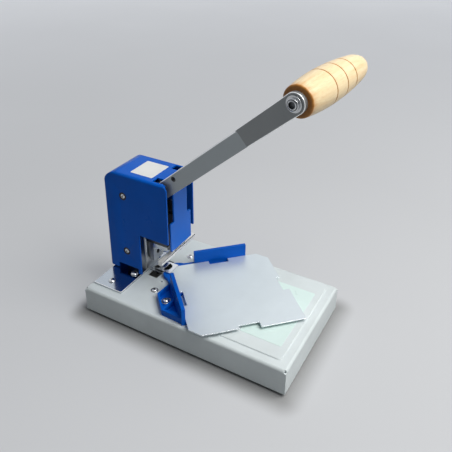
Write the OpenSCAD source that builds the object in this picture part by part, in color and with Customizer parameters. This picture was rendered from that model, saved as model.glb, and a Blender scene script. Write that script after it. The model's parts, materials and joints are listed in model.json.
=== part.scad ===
// Half moon calendar punch: a lever press on a folded steel base.
// Millimetres. The origin is the centre of the base on the surface it stands on.
// +X points to the operator, +Z is up, and the lever swings in the XZ plane.

/* [Base] */
// Length of the base pan along X
base_l = 300; // [290:1:340]
// Width of the base pan along Y
base_w = 175; // [165:1:200]
// Height of the base pan's top face above the floor
base_top = 40; // [36:1:50]
// Sheet thickness of the base pan
sheet_t = 2; // [1.5:0.1:3]
// Outer radius of the pan's folded edges
bend_r = 4; // [3.5:0.5:8]
// Diameter of the relief hole at each folded corner
relief_d = 4; // [3:0.5:6]
// Width of the inward flange along the pan's long sides
flange_w = 30; // [28:1:40]
// Height of the raised panel on the pan's top
emboss_h = 1.5; // [0.5:0.1:3]
// Length of the raised panel
emboss_l = 100; // [60:1:110]
// Border between the raised panel and the pan's front and long edges
emboss_border = 12; // [8:1:20]
// Height of a rubber foot below the pan
foot_h = 4; // [3:0.5:10]
// Diameter of a rubber foot
foot_d = 22; // [16:1:24]
// Distance from a foot's centre to the pan's outer walls
foot_inset = 17; // [15:1:18]

/* [Frame] */
// Distance from the pan's rear edge to the punch line
punch_back = 79; // [78:0.5:84]
// Thickness of the foot plate
plate_t = 3; // [2:0.5:5]
// Length of the foot plate's cross strip along X
strip_l = 47; // [44:1:52]
// Width of the foot plate's cross strip along Y
strip_w = 148; // [140:1:155]
// Corner radius of the cross strip
strip_r = 2; // [1:0.5:5]
// Width of the tongue that carries the die
tongue_w = 22; // [20:1:24]
// Length of the column along X
column_l = 36; // [34:1:40]
// Width of the column along Y
column_w = 32; // [30:1:33]
// Distance from the column's front face to the punch line
column_gap = 27; // [26:0.5:28]
// Length of the chip window in the pan along X
window_l = 16; // [12:1:18]
// Width of the chip window in the pan along Y
window_w = 43; // [36:1:50]

/* [Cover] */
// Length of the cover along X
cover_l = 102; // [101:1:106]
// Width of the cover along Y
cover_w = 63.5; // [62:0.5:70]
// Height of the cover from its lower edge
cover_h = 152.5; // [151:0.5:165]
// Gap between the foot plate and the cover's lower edge
cover_lift = 2; // [1:0.5:3]
// Wall thickness of the cover
cover_t = 2.5; // [2:0.1:3.5]
// Radius of the cover's upper rear corner, seen from the side
cover_back_r = 22; // [12:1:30]
// Radius of the cover's upper front corner, seen from the side
cover_front_r = 9; // [5:0.5:14]
// Radius of the cover's long edges
cover_edge_r = 4; // [3.5:0.5:6]
// Height of the side cut-out's upper edge above the foot plate
cutout_h = 67; // [64:1:72]
// Distance from the cover's rear face to the side cut-out
cutout_back = 55; // [53:0.5:60]
// Length of the ventilation slot in the cover's lower edge
vent_l = 34.5; // [33:0.5:38]
// Height of the ventilation slot
vent_h = 8; // [5:1:12]
// Width of each lever slot in the cover's top
lever_slot_w = 11; // [9:0.5:12]
// Gap between the lever and the rear end of its slots in the cover's top
lever_slot_gap = 8; // [6:0.5:12]
// Gap between the spring bracket's screws and the cover's top
top_gap = 2.4; // [1.5:0.1:4]

/* [Press] */
// Height of the lever pivot above the foot plate
pivot_h = 75; // [73:0.5:76]
// Lever angle above the horizontal at rest
lever_rest = 41.1; // [40.5:0.1:44]
// Angle that the lever turns through
press_angle = 42; // [40:0.5:42]
// Travel of the ram
stroke = 33; // [31:0.5:34]
// Depth that the punch enters the die
punch_entry = 1.2; // [0.8:0.1:2]
// Radius of the half moon
moon_r = 8; // [6:0.5:8.5]
// Gap between punch and die all round
punch_clear = 0.08; // [0.05:0.01:0.1]
// Thickness of the lower die
die_t = 4; // [3.5:0.5:6]
// Width of the lower die along Y
die_w = 22; // [21:0.5:24]
// Length of the punch below its holder
punch_out = 6.2; // [5:0.1:7]
// Thickness of the punch holder
holder_t = 7; // [6:0.5:8]
// Width of the ram along Y
ram_w = 31; // [30:0.5:32]
// Distance from the punch line to the ram's front face
ram_front = 20.5; // [20:0.5:21]
// Diameter of the pivot shaft
pivot_d = 12; // [10:0.5:13]
// Diameter of the drive pin
pin_d = 10; // [8:0.5:11]
// Outer diameter of the roller on the drive pin
roller_d = 14; // [13:0.5:15]
// Half width of the ram rail's neck
rail_neck = 7; // [6:0.5:8]
// Half width of the ram rail's head
rail_head = 11; // [10:0.5:11.5]
// Gap between sliding faces
slide_clear = 0.3; // [0.2:0.05:0.4]
// Radial gap between a shaft and its bearing
run_clear = 0.05; // [0.02:0.01:0.1]
// Radial gap round a fastener in its hole
fit_clear = 0.1; // [0.05:0.05:0.3]

/* [Clamp] */
// Length of the paper clamp bar along Y
clamp_l = 81; // [70:1:90]
// Height of the paper clamp bar
clamp_h = 7; // [6:0.5:8]
// Depth of the paper clamp bar along X
clamp_d = 6.5; // [6:0.5:7]
// Gap between the clamp bar and the die's level at the end of the stroke
clamp_gap = 0.5; // [0.4:0.1:1]
// Upward travel of the clamp bar against its springs
clamp_travel = 10; // [6:0.5:10]
// Diameter of a clamp pin
clamp_pin_d = 5; // [4:0.5:5]
// Distance of a clamp pin from the middle plane
clamp_pin_y = 11; // [9:0.5:11]
// Mean coil diameter of a clamp spring
clamp_coil_d = 8; // [7.5:0.1:8]
// Wire diameter of a clamp spring
clamp_wire_d = 1; // [0.8:0.1:1.1]
// Turns of a clamp spring
clamp_turns = 5; // [4:1:6]

/* [Front panel] */
// Thickness of the front panel
panel_t = 2.5; // [2:0.1:3]
// Width of the panel's lower part
panel_low_w = 48; // [44:1:52]
// Width of the panel's upper part
panel_high_w = 31; // [28:1:32]
// Height of the panel's lower part
panel_low_h = 43; // [38:1:43]
// Gap between the panel's upper edge and the cover's top
panel_top_gap = 9; // [6:0.5:14]
// Gap between the ram's lower face and the panel's lower edge
panel_lift = 3; // [2:0.5:5]

/* [Lever] */
// Thickness of a fork arm
arm_t = 6; // [4:0.5:6]
// Outer width across the fork arms
fork_w = 48; // [47:0.5:49]
// Length of the fork from the pivot
fork_l = 237; // [220:1:260]
// Height of the arms' middle line above the pivot
arm_rise = 13.4; // [10:0.2:15]
// Half height of a fork arm at the pivot
arm_root = 10.9; // [10:0.1:12]
// Half height of a fork arm at its end
arm_tip = 11; // [10:0.1:12]
// Radius of the fork's hub round the pivot
hub_r = 14; // [12:0.5:15]
// Distance from the pivot to the start of the fork's web
web_start = 117; // [112:1:130]
// Thickness of the fork's web
web_t = 4; // [3:0.5:5]
// Radius of the fork's lobe round the drive pin
lobe_r = 12; // [10:0.5:12.5]
// Thickness of the handle bar
bar_t = 6; // [5:0.5:8]
// Length of the handle bar from the fork's end to the handle screw
bar_l = 78.5; // [65:0.5:110]
// Half width of the handle bar at the fork
bar_root = 11; // [10:0.1:12.5]
// Radius of the handle bar's round end
bar_end_r = 12.5; // [12:0.5:15]
// Length of the handle bar's foot inside the fork
bar_foot_l = 50; // [35:1:70]
// Sideways bend of the handle bar towards the near side
bar_splay = 8.2; // [4:0.2:12]
// Drop of the handle bar below the fork's line
bar_drop = -0.2; // [-2:0.1:4]
// Lean of the handle bar about its own length
bar_lean = 3.1; // [0:0.1:5]

/* [Handle] */
// Length of the wooden handle
handle_l = 150; // [120:1:170]
// Radius of the handle at its end by the bar
handle_end_r = 18.3; // [15:0.1:20]
// Largest radius of the handle
handle_max_r = 22; // [21:0.1:26]
// Distance from the handle's end to its largest radius
handle_belly = 50; // [40:1:60]
// Radius of the handle where its rounded tip starts
handle_neck_r = 17.2; // [15:0.1:20]
// Length of the handle's rounded tip
handle_tip_l = 28; // [20:1:34]
// Depth of a turned groove
groove_depth = 0.8; // [0.4:0.1:1.5]
// Diameter of the handle screw
handle_screw_d = 8; // [6:0.5:10]

/* [Table] */
// Length of a guide's wall
guide_l = 77; // [70:1:85]
// Distance from the V's corner to the start of a guide's wall
guide_start = 37; // [34:1:42]
// Height of a guide's wall above the table
guide_h = 18; // [12:1:24]
// Thickness of a guide's wall
guide_t = 5; // [4:0.5:6]
// Height of a guide's rim above the pan
rim_h = 9; // [8:0.5:14]
// Reach of a guide's flange away from the table
guide_reach = 26; // [24:0.5:28]
// Width of the ledge under the table plate
ledge_w = 10; // [9.5:0.5:14]
// Length of a guide's nose along the die
nose_l = 13; // [9:0.5:15]
// Thickness of the table plate
table_t = 1.6; // [1:0.1:2.5]
// Side of the table plate's square
table_side = 148; // [130:1:152]
// Half width of the table across its cut corners
table_half_w = 92; // [80:1:94]
// Thickness of a guide's floor
guide_floor = 1.5; // [1.2:0.1:3]
// Length of the finger notch in the table plate beside each guide
finger_l = 28; // [20:1:34]
// Depth of the finger notch in the table plate
finger_w = 7.5; // [5:0.5:9]

/* [Hidden] */
$fn = 64;
eps = 0.01;

// Colours
c_pan = [0.84, 0.87, 0.86];
c_blue = [0.02, 0.27, 0.66];
c_zinc = [0.80, 0.82, 0.84];
c_steel = [0.60, 0.62, 0.64];
c_chrome = [0.88, 0.89, 0.90];
c_dark = [0.10, 0.10, 0.11];
c_lever = [0.44, 0.46, 0.46];
c_bronze = [0.72, 0.52, 0.25];
c_wood = [0.96, 0.84, 0.58];

// Fasteners: shank, head diameter, head height
m3 = [3, 6, 1.8];
m4 = [4, 8, 2.6];
m5 = [5, 10, 3.2];
m6 = [6, 10, 4];

wall_gap = 0.3;
nut_grip = 5;
bolt_grip = 18;

// Stations along X
rear_x = -base_l / 2;
punch_x = rear_x + punch_back;
strip_back = 5;
strip_x = rear_x + strip_back;
column_front = punch_x - column_gap;
column_x = column_front - column_l / 2;
die_back = 19;
die_front = 9;
window_x = punch_x - 14;
moon_x = punch_x - 4;

// Levels along Z
plate_top = base_top + plate_t;
die_top = plate_top + die_t;
pivot_z = plate_top + pivot_h;
punch_z = die_top + stroke - punch_entry;
holder_z = punch_z + punch_out;
ram_z = holder_z + holder_t;
clamp_z = die_top + stroke + clamp_gap;
clamp_top = clamp_z + clamp_h;
cover_z = plate_top + cover_lift;
cover_top = cover_z + cover_h;
cover_ceiling = cover_top - cover_t;
bracket_t = 4;
column_top = cover_ceiling - top_gap - m4[2] - bracket_t;
column_h = column_top - plate_top;
cutout_z = plate_top + cutout_h;

// Crank: the pin's arc is level with the pivot at half stroke
crank_r = stroke / (2 * sin(press_angle / 2));
pivot_x = punch_x - crank_r * (1 + cos(press_angle / 2)) / 2;
pin_x = pivot_x + crank_r * cos(press_angle / 2);
pin_z = pivot_z + stroke / 2;
ram_top = pin_z + roller_d / 2 + 6.5;
pin_local = press_angle / 2 - lever_rest;
slot_slack = 0.45;

// Ram and clamp details
lug_z = ram_z + 11;
lug_back = die_front + 0.2;
clamp_x = punch_x + ram_front - 5;
pin_seat = lug_z + 8;
pin_head_d = clamp_pin_d + 2.4;
pin_head_h = 3;
pin_hold = 4.9;
panel_x = punch_x + ram_front;
rail_t = 4;
rail_head_t = 6;
rail_x = column_front + rail_t;

// Fork and the slots that it passes through
arm_in = fork_w / 2 - arm_t;
bush_d = pivot_d + 4;
pin_u = crank_r * cos(pin_local);
pin_w = crank_r * sin(pin_local);
bar_y = -arm_in + bar_t / 2;
bend_x = fork_l + bar_t / 2 + wall_gap;
arm_back = arm_rise + arm_root;
lever_at_ceiling = pivot_x - arm_back * sin(lever_rest)
    + (cover_ceiling - pivot_z - arm_back * cos(lever_rest)) / tan(lever_rest);
lever_slot_l = rear_x + cover_l - lever_at_ceiling + lever_slot_gap;

// Table and guides, measured from the corner of the V
table_top = die_top;
table_under = table_top - table_t;
guide_end = guide_start + guide_l;
finger_start = guide_start + 21;
guide_screw_at = [guide_start + 28, -guide_reach + 10];
guide_washer_t = 1.2;
buffer_at = [126, 40];
buffer_d = 12;

// Fastener places
foot_screw_x = [20.4, 37.5];
foot_screw_in = 13.6;
foot_screw_out = 16.4;
foot_screw_at = [[strip_x + foot_screw_x[0], strip_w / 2 - foot_screw_in],
    [strip_x + foot_screw_x[1], column_w / 2 + foot_screw_out]];
base_screw_at = [punch_x + 7, 44.8];
peg_hole_at = [punch_x + 4.2, 24.3];
column_bolt_at = [[-11, 9], [11, 9]];
cover_screw_up = 34.3;
cover_screw_clear = 5.7;
cover_screw_grip = 10;
spacer_d = 10;
cover_screw_x = rear_x + 31.5;
cover_screw_z = [plate_top + cover_screw_up,
    pivot_z + (arm_back + spacer_d / 2 + cover_screw_clear) / cos(lever_rest)];
boss_depth = 3;
bracket_w = 18;
bracket_reach = 8;
bracket_screw_x = [-9, 9];
boss_d = 14;
foot_at = [base_l / 2 - foot_inset - sheet_t, base_w / 2 - foot_inset];

// Springs
return_wire_d = 1.2;
return_coil_d = 9;
return_pitch = 2.3;
return_tail = 4;
return_turns = floor((column_top - ram_top - 2 * return_tail) / return_pitch);
return_x = punch_x - 9;
return_ease = 0.75;
rings_per_turn = 8;
wire_sides = 6;

// A rectangle with round corners, centred
module rounded(l, w, r) {
    square([l - 2 * r, w], center = true);
    square([l, w - 2 * r], center = true);
    for (x = [-1, 1], y = [-1, 1])
        translate([x * (l / 2 - r), y * (w / 2 - r)]) circle(r);
}

// A section that stands on its lower edge, with two round upper corners
module arch(w, h, r) {
    translate([-w / 2, 0]) square([w, h - r]);
    translate([r - w / 2, h - r - eps]) square([w - 2 * r, r + eps]);
    for (x = [-1, 1]) translate([x * (w / 2 - r), h - r]) circle(r);
}

// A folded tray, open below, with round upper edges
module tray(l, w, h, r) {
    intersection() {
        rotate([90, 0, 90]) linear_extrude(l, center = true) arch(w, h, r);
        rotate([90, 0, 0]) linear_extrude(w, center = true) arch(l, h, r);
    }
}

// A domed screw: head upwards on z = 0, shank below
module pan_screw(size, len) {
    translate([0, 0, -len]) cylinder(d = size[0], h = len + eps);
    rotate_extrude() intersection() {
        translate([0, size[2] - size[1]]) circle(size[1]);
        square([size[1] / 2, size[2]]);
    }
}

// A ring in the XY plane
module ring(outer_d, inner_d, h) {
    difference() {
        cylinder(d = outer_d, h = h);
        translate([0, 0, -1]) cylinder(d = inner_d, h = h + 2);
    }
}

// Turns its children so that their Z runs along Y
module along_y() { rotate([-90, 0, 0]) children(); }

// Both sides of the middle plane
module both_sides() {
    children();
    mirror([0, 1, 0]) children();
}

// Points of a coil with its wire's angle, ends drawn in to the axis over ease turns
function coil(r, turns, ease, z0, z1) = [
    for (i = [0 : turns * rings_per_turn])
        let (a = i / rings_per_turn,
            k = min(1, a / max(ease, eps), (turns - a) / max(ease, eps)),
            rr = (ease == 0) ? r : r * sin(90 * k))
        [[rr * cos(360 * a), rr * sin(360 * a), z0 + (z1 - z0) * a / turns], 360 * a]];

// One ring of points round a wire
function wire_ring(p, t, a, r) = let (
    side = [cos(a), sin(a), 0],
    n = side - (side * t) * t,
    nn = n / norm(n),
    b = cross(t, nn))
    [for (j = [0 : wire_sides - 1])
        p + r * (cos(360 * j / wire_sides) * nn + sin(360 * j / wire_sides) * b)];

// An unbroken wire along a coil's points
module wire(path, d) {
    n = len(path);
    tangents = [for (i = [0 : n - 1])
        let (v = path[min(i + 1, n - 1)][0] - path[max(i - 1, 0)][0]) v / norm(v)];
    rings = [for (i = [0 : n - 1]) each wire_ring(path[i][0], tangents[i], path[i][1], d / 2)];
    s = wire_sides;
    sides = [for (i = [0 : n - 2], j = [0 : s - 1])
        let (a = i * s + j, b = i * s + (j + 1) % s)
        each [[a, a + s, b], [b, a + s, b + s]]];
    caps = [for (j = [1 : s - 2]) each [[0, j, j + 1],
        [(n - 1) * s, (n - 1) * s + j + 1, (n - 1) * s + j]]];
    polyhedron(points = rings, faces = concat(sides, caps));
}

// Least gap between turns of a wire, measured on its points
function least_gap(path, d) = min([
    for (i = [0 : len(path) - 1], j = [i + rings_per_turn / 2 : 1 : len(path) - 1])
        norm(path[i][0] - path[j][0]) - d]);

clamp_path = coil(clamp_coil_d / 2, clamp_turns, 0,
    clamp_top + clamp_wire_d / 2 + 0.15, lug_z - clamp_wire_d / 2 - 0.15);
return_body = coil(return_coil_d / 2, return_turns, return_ease, ram_top + return_tail,
    column_top - return_tail);
return_path = concat([[[0, 0, ram_top], 0]], return_body,
    [[[0, 0, column_top], 360 * return_turns]]);
echo(clamp_spring_least_gap = least_gap(clamp_path, clamp_wire_d));
echo(return_spring_least_gap = least_gap(return_body, return_wire_d));

// Base
module emboss_2d(inset) {
    l = emboss_l - 2 * inset;
    w = base_w - 2 * emboss_border - 2 * inset;
    translate([base_l / 2 - emboss_border - emboss_l / 2, 0]) rounded(l, w, 6);
}

module base_pan() {
    color(c_pan) translate([0, 0, foot_h]) difference() {
        h = base_top - foot_h;
        union() {
            difference() {
                union() {
                    tray(base_l, base_w, h, bend_r);
                    linear_extrude(h + emboss_h) emboss_2d(0);
                }
                translate([0, 0, -eps]) tray(base_l - 2 * sheet_t, base_w - 2 * sheet_t,
                    h - sheet_t + eps, bend_r - sheet_t);
                translate([0, 0, -eps]) linear_extrude(h + emboss_h - sheet_t) emboss_2d(sheet_t);
            }
            for (y = [-1, 1]) translate([0, y * (base_w - flange_w) / 2, sheet_t / 2])
                cube([base_l - 2 * sheet_t, flange_w - eps, sheet_t], center = true);
        }
        for (x = [-1, 1], y = [-1, 1]) {
            translate([x * (base_l / 2 - relief_d / 3), y * (base_w / 2 - relief_d / 3), h - relief_d])
                cylinder(d = relief_d, h = 2 * relief_d);
            translate([x * foot_at[0], y * foot_at[1], -1]) cylinder(d = 6 + 2 * fit_clear, h = sheet_t + 2);
        }
        translate([window_x, 0, h - sheet_t]) cube([window_l, window_w, 20], center = true);
        translate([punch_x, 0, h - sheet_t]) cube([2 * die_front, tongue_w - 4, 20], center = true);
        translate([0, 0, -foot_h]) both_sides() {
            for (p = foot_screw_at) screw_hole(p, m5);
            for (p = column_bolt_at) screw_hole([column_x + p[0], p[1]], m6);
            screw_hole(base_screw_at, m4);
            screw_hole(peg_hole_at, m3);
            translate([punch_x, 0, 0]) mirror([0, 1, 0]) rotate(-45) screw_hole(guide_screw_at, m5);
            screw_hole([punch_x - die_back + 4, 6.5], m4);
        }
    }
}

// A clearance hole down through the pan's top
module screw_hole(p, size) {
    translate([p[0], p[1], base_top - 12]) cylinder(d = size[0] + 2 * fit_clear, h = 30);
}

module rubber_feet() {
    color(c_dark) for (x = [-1, 1], y = [-1, 1]) translate([x * foot_at[0], y * foot_at[1], 0])
        rotate_extrude() union() {
            square([foot_d / 2 - 1, foot_h]);
            translate([0, 1]) square([foot_d / 2, foot_h - 1]);
            translate([foot_d / 2 - 1, 1]) circle(1);
            square([3, foot_h + sheet_t + 1]);
            translate([0, foot_h + sheet_t + fit_clear]) square([4.5, 2]);
        }
}

module foot_plate() {
    color(c_zinc) translate([0, 0, base_top]) difference() {
        linear_extrude(plate_t) union() {
            translate([strip_x + strip_l / 2, 0]) rounded(strip_l, strip_w, strip_r);
            translate([strip_x + strip_l - 6, -tongue_w / 2])
                square([punch_x + die_front - strip_x - strip_l + 6, tongue_w]);
        }
        both_sides() {
            for (p = foot_screw_at) plate_hole(p, m5);
            for (p = column_bolt_at) plate_hole([column_x + p[0], p[1]], m6);
            plate_hole([punch_x - die_back + 4, 6.5], m4);
        }
        translate([moon_x + moon_r / 2, 0, plate_t / 2])
            cube([moon_r + 2, 2 * moon_r + 2, plate_t + 2], center = true);
    }
}

module plate_hole(p, size) {
    translate([p[0], p[1], -1]) cylinder(d = size[0] + 2 * fit_clear, h = plate_t + 2);
}

module foot_screws() {
    color(c_zinc) both_sides() for (p = foot_screw_at)
        translate([p[0], p[1], plate_top]) pan_screw(m5, plate_t + sheet_t + nut_grip);
}

module base_screws() {
    color(c_zinc) both_sides()
        translate([base_screw_at[0], base_screw_at[1], base_top]) pan_screw(m4, sheet_t + nut_grip);
}

// Column, rail and spring bracket
module column() {
    color(c_steel) difference() {
        translate([column_x, 0, plate_top]) linear_extrude(column_h) rounded(column_l, column_w, 3);
        translate([pivot_x, 0, pivot_z]) along_y()
            cylinder(d = pivot_d + 2 * run_clear, h = column_w + 2, center = true);
        both_sides() for (p = column_bolt_at) translate([column_x + p[0], p[1], 0]) {
            translate([0, 0, plate_top - 1]) cylinder(d = m6[0] + 2 * fit_clear, h = bolt_grip + 3);
        }
        for (x = bracket_screw_x) translate([column_x + x, 0, column_top - 4 * m4[0]])
            cylinder(d = m4[0] + 2 * fit_clear, h = 4 * m4[0] + 1);
        for (z = rail_screw_z) translate([column_front - 14, 0, z]) rotate([0, 90, 0])
            cylinder(d = m4[0] + 2 * fit_clear, h = 15);
        for (z = cover_screw_z) translate([cover_screw_x, 0, z]) along_y()
            cylinder(d = m4[0] + 2 * fit_clear, h = column_w + 2, center = true);
    }
}

rail_bottom = ram_z - stroke - 1;
rail_top = ram_top + 2;
rail_screw_end = 12;
rail_screw_grip = 13;
rail_screw_z = [rail_bottom + rail_screw_end, (rail_bottom + rail_top) / 2, rail_top - rail_screw_end];

module column_bolts() {
    color(c_zinc) both_sides() for (p = column_bolt_at)
        translate([column_x + p[0], p[1], base_top - sheet_t]) {
            cylinder(d = m6[0], h = sheet_t + plate_t + bolt_grip);
            translate([0, 0, -m6[2]]) cylinder(d = m6[1] * 1.1, h = m6[2], $fn = 6);
        }
}

module ram_rail() {
    color(c_steel) difference() {
        translate([0, 0, rail_bottom]) linear_extrude(rail_top - rail_bottom) {
            translate([column_front, -rail_neck]) square([rail_t + eps, 2 * rail_neck]);
            translate([rail_x, -rail_head]) square([rail_head_t, 2 * rail_head]);
        }
        for (z = rail_screw_z) translate([column_front - 1, 0, z]) rotate([0, 90, 0]) {
            cylinder(d = m4[0] + 2 * fit_clear, h = 20);
            translate([0, 0, 1 + rail_t + 1]) cylinder(d = m4[1] + 2 * fit_clear, h = 20);
        }
    }
}

module rail_screws() {
    color(c_dark) for (z = rail_screw_z) translate([rail_x + 1, 0, z]) rotate([0, 90, 0])
        difference() {
            union() {
                translate([0, 0, -rail_t - rail_screw_grip])
                    cylinder(d = m4[0], h = rail_t + rail_screw_grip + 1);
                cylinder(d = m4[1], h = 4);
            }
            translate([0, 0, 2]) cylinder(d = 4, h = 4, $fn = 6);
        }
}

module spring_bracket() {
    back = column_x - column_l / 2;
    front = return_x + bracket_reach;
    color(c_steel) translate([0, 0, column_top]) difference() {
        translate([(back + front) / 2, 0, 0]) linear_extrude(bracket_t) rounded(front - back, bracket_w, 3);
        for (x = bracket_screw_x) translate([column_x + x, 0, -1])
            cylinder(d = m4[0] + 2 * fit_clear, h = bracket_t + 2);
    }
}

module bracket_screws() {
    color(c_zinc) for (x = bracket_screw_x) translate([column_x + x, 0, column_top + bracket_t])
        pan_screw(m4, 4 * m4[0]);
}

// Cover
module cover_side(l, h, rb, rf) {
    square([l, h - rb]);
    translate([rb, h - rb - eps]) square([l - rb, rb - rf + eps]);
    translate([rb, h - rf - eps]) square([l - rb - rf, rf + eps]);
    translate([rb, h - rb]) circle(rb);
    translate([l - rf, h - rf]) circle(rf);
}

// A plan with two round rear corners and a square front
module cover_plan(l, w, r) {
    translate([r, -w / 2]) square([l - r, w]);
    translate([0, r - w / 2]) square([r + eps, w - 2 * r]);
    for (y = [-1, 1]) translate([r, y * (w / 2 - r)]) circle(r);
}

module cover_form(l, w, h, rb, rf, r) {
    intersection() {
        rotate([90, 0, 0]) linear_extrude(w, center = true) cover_side(l, h, rb, rf);
        rotate([90, 0, 90]) linear_extrude(l) arch(w, h, r);
        linear_extrude(h) cover_plan(l, w, r);
    }
}

module cover() {
    inner_w = cover_w - 2 * cover_t;
    color(c_blue) difference() {
        union() {
            translate([rear_x, 0, cover_z]) difference() {
                cover_form(cover_l, cover_w, cover_h, cover_back_r, cover_front_r, cover_edge_r);
                translate([cover_t, 0, -eps]) cover_form(cover_l + 20, inner_w, cover_h - cover_t + eps,
                    cover_back_r - cover_t, cover_front_r - cover_t, cover_edge_r - cover_t);
                translate([cover_l - lever_slot_l, 0, cover_h - 14]) both_sides()
                    translate([0, lever_slot_y, 0]) cube([lever_slot_l + 1, lever_slot_w, 15]);
                translate([cutout_back, -cover_w, -1])
                    cube([cover_l, 2 * cover_w, cutout_z - cover_z + 1]);
                translate([15, -cover_w, -1]) cube([vent_l, 2 * cover_w, vent_h + 1]);
            }
            both_sides() for (z = cover_screw_z)
                translate([cover_screw_x, inner_w / 2 - boss_depth, z]) along_y()
                    cylinder(d = boss_d, h = boss_depth + eps);
        }
        both_sides() for (z = cover_screw_z) translate([cover_screw_x, 0, z]) along_y() {
            cylinder(d = m4[0] + 2 * fit_clear, h = cover_w);
            translate([0, 0, cover_w / 2 - boss_depth]) cylinder(d = m4[1] + 2, h = cover_w);
        }
    }
}

lever_slot_y = fork_w / 2 - arm_t / 2 - lever_slot_w / 2;
spacer_l = cover_w / 2 - cover_t - boss_depth - column_w / 2;

module cover_spacers() {
    color(c_zinc) both_sides() for (z = cover_screw_z)
        translate([cover_screw_x, column_w / 2, z]) along_y()
            ring(spacer_d, m4[0] + 2 * fit_clear, spacer_l);
}

module cover_screws() {
    color(c_zinc) both_sides() for (z = cover_screw_z)
        translate([cover_screw_x, cover_w / 2 - boss_depth, z]) along_y()
            pan_screw(m4, spacer_l + cover_t + cover_screw_grip);
}

// Die, guides and table
module moon_2d(r) {
    intersection() {
        translate([moon_x, 0]) circle(r);
        translate([moon_x - (r - moon_r), -r]) square([2 * r, 2 * r]);
    }
}

module lower_die() {
    color(c_chrome) translate([0, 0, plate_top]) difference() {
        translate([punch_x - die_back, -die_w / 2, 0]) cube([die_back + die_front, die_w, die_t]);
        translate([0, 0, -1]) linear_extrude(die_t + 2) moon_2d(moon_r + punch_clear);
        both_sides() translate([punch_x - die_back + 4, 6.5, -1]) {
            cylinder(d = m4[0] + 2 * fit_clear, h = die_t + 2);
            translate([0, 0, die_t - 0.6]) cylinder(d = m4[1] - 1 + 2 * fit_clear, h = 4);
        }
    }
}

module die_screws() {
    color(c_dark) both_sides() translate([punch_x - die_back + 4, 6.5, 0]) difference() {
        union() {
            translate([0, 0, base_top - sheet_t - 3])
                cylinder(d = m4[0], h = die_top - base_top + sheet_t + 2);
            translate([0, 0, die_top - 1.6]) cylinder(d = m4[1] - 1, h = 1.6);
        }
        translate([0, 0, die_top - 1.2]) cylinder(d = 3, h = 2, $fn = 6);
    }
}

// A guide in its own frame: X along the wall, Y towards the table, corner of the V at the origin
module guide_form() {
    nose = (die_w / 2 + wall_gap) * sqrt(2);
    lobe = nose_l / sqrt(2);
    low = table_under - base_top;
    outline = [[guide_start, 0], [guide_start, -guide_t], [guide_start + 18, -guide_reach],
        [guide_end - 26, -guide_reach], [guide_end - 3, -guide_t], [guide_end, -guide_t], [guide_end, 0]];
    tongue = [[nose, 0], [guide_start + 1, 0], [guide_start + 1, -guide_t - 1], [nose + 7, -6.5],
        [nose + 2, 0.5 - lobe], [nose - lobe + 6.5, -lobe - 0.7], [nose - lobe + 3, -lobe - 1],
        [nose - lobe, -lobe]];
    ledge = [[nose, -eps], [guide_end, -eps], [guide_end, ledge_w], [nose + ledge_w, ledge_w]];
    translate([0, 0, base_top]) difference() {
        union() {
            linear_extrude(low) difference() {
                polygon(ledge);
                translate([finger_start, 0]) square([finger_l, ledge_w + 1]);
            }
            linear_extrude(low) polygon(tongue);
            difference() {
                linear_extrude(rim_h) polygon(outline);
                translate([0, 0, guide_floor]) linear_extrude(rim_h) guide_pockets();
            }
            translate([guide_start, -guide_t, 0]) cube([guide_l, guide_t, table_top - base_top + guide_h]);
        }
        translate([guide_screw_at[0], guide_screw_at[1], -1]) cylinder(d = m5[0] + 2 * fit_clear, h = 30);
    }
}

// Two pockets parted by a slanted rib; the first one holds the screw
module guide_pockets() {
    inner = -guide_t - 1.5;
    edge = -guide_reach + 3;
    rib = guide_screw_at[0] + 5;
    polygon([[guide_start + 4, inner], [guide_start + 19, edge], [rib + 13, edge], [rib, inner]]);
    polygon([[rib + 4, inner], [rib + 17, edge + 1], [rib + 19, edge + 1], [guide_end - 16, inner]]);
}

module guide_near() {
    color(c_blue) translate([punch_x, 0, 0]) rotate(-45) guide_form();
}

module guide_far() {
    color(c_blue) mirror([0, 1, 0]) translate([punch_x, 0, 0]) rotate(-45) guide_form();
}

module at_guide_screws() {
    both_sides() translate([punch_x, 0, base_top + guide_floor]) rotate(-45)
        translate([guide_screw_at[0], guide_screw_at[1], 0]) children();
}

module guide_washers() {
    color(c_zinc) at_guide_screws() ring(m5[1] + 3, m5[0] + 2 * fit_clear, guide_washer_t);
}

module guide_screws() {
    color(c_zinc) at_guide_screws() translate([0, 0, guide_washer_t])
        pan_screw(m5, guide_washer_t + guide_floor + sheet_t + nut_grip);
}

// The table's outline: a square on its corner, stepped at the outer edges and cut at three corners
module table_2d() {
    step = 4;
    notch = [61.5, 88.5];
    notch_depth = 9;
    intersection() {
        rotate(-45) difference() {
            translate([wall_gap, wall_gap]) square(table_side);
            for (k = [0, 1]) mirror([k, -k]) {
                translate([-1, table_side + wall_gap - step]) square([notch[0] + 1, step + 1]);
                translate([notch[0], table_side + wall_gap - notch_depth])
                    square([notch[1] - notch[0], notch_depth + 1]);
                translate([finger_start, -1]) square([finger_l, finger_w + wall_gap + 1]);
            }
        }
        translate([die_front + wall_gap, -table_half_w]) square([2 * table_side, 2 * table_half_w]);
    }
}

module table_plate() {
    color(c_chrome) translate([punch_x, 0, table_under]) linear_extrude(table_t) table_2d();
}

module table_buffers() {
    emboss_top = base_top + emboss_h;
    color(c_dark) both_sides() translate([punch_x + buffer_at[0], buffer_at[1], emboss_top])
        cylinder(d = buffer_d, h = table_under - emboss_top);
}

// Pivot
module at_pivot() { translate([pivot_x, 0, pivot_z]) children(); }

module pivot_shaft() {
    color(c_steel) at_pivot() along_y() cylinder(d = pivot_d, h = fork_w + 7, center = true);
}

module pivot_rings() {
    color(c_dark) at_pivot() both_sides() translate([0, fork_w / 2 + slide_clear, 0]) along_y()
        ring(pivot_d + 6, pivot_d + 2 * run_clear, 1.2);
}

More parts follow.
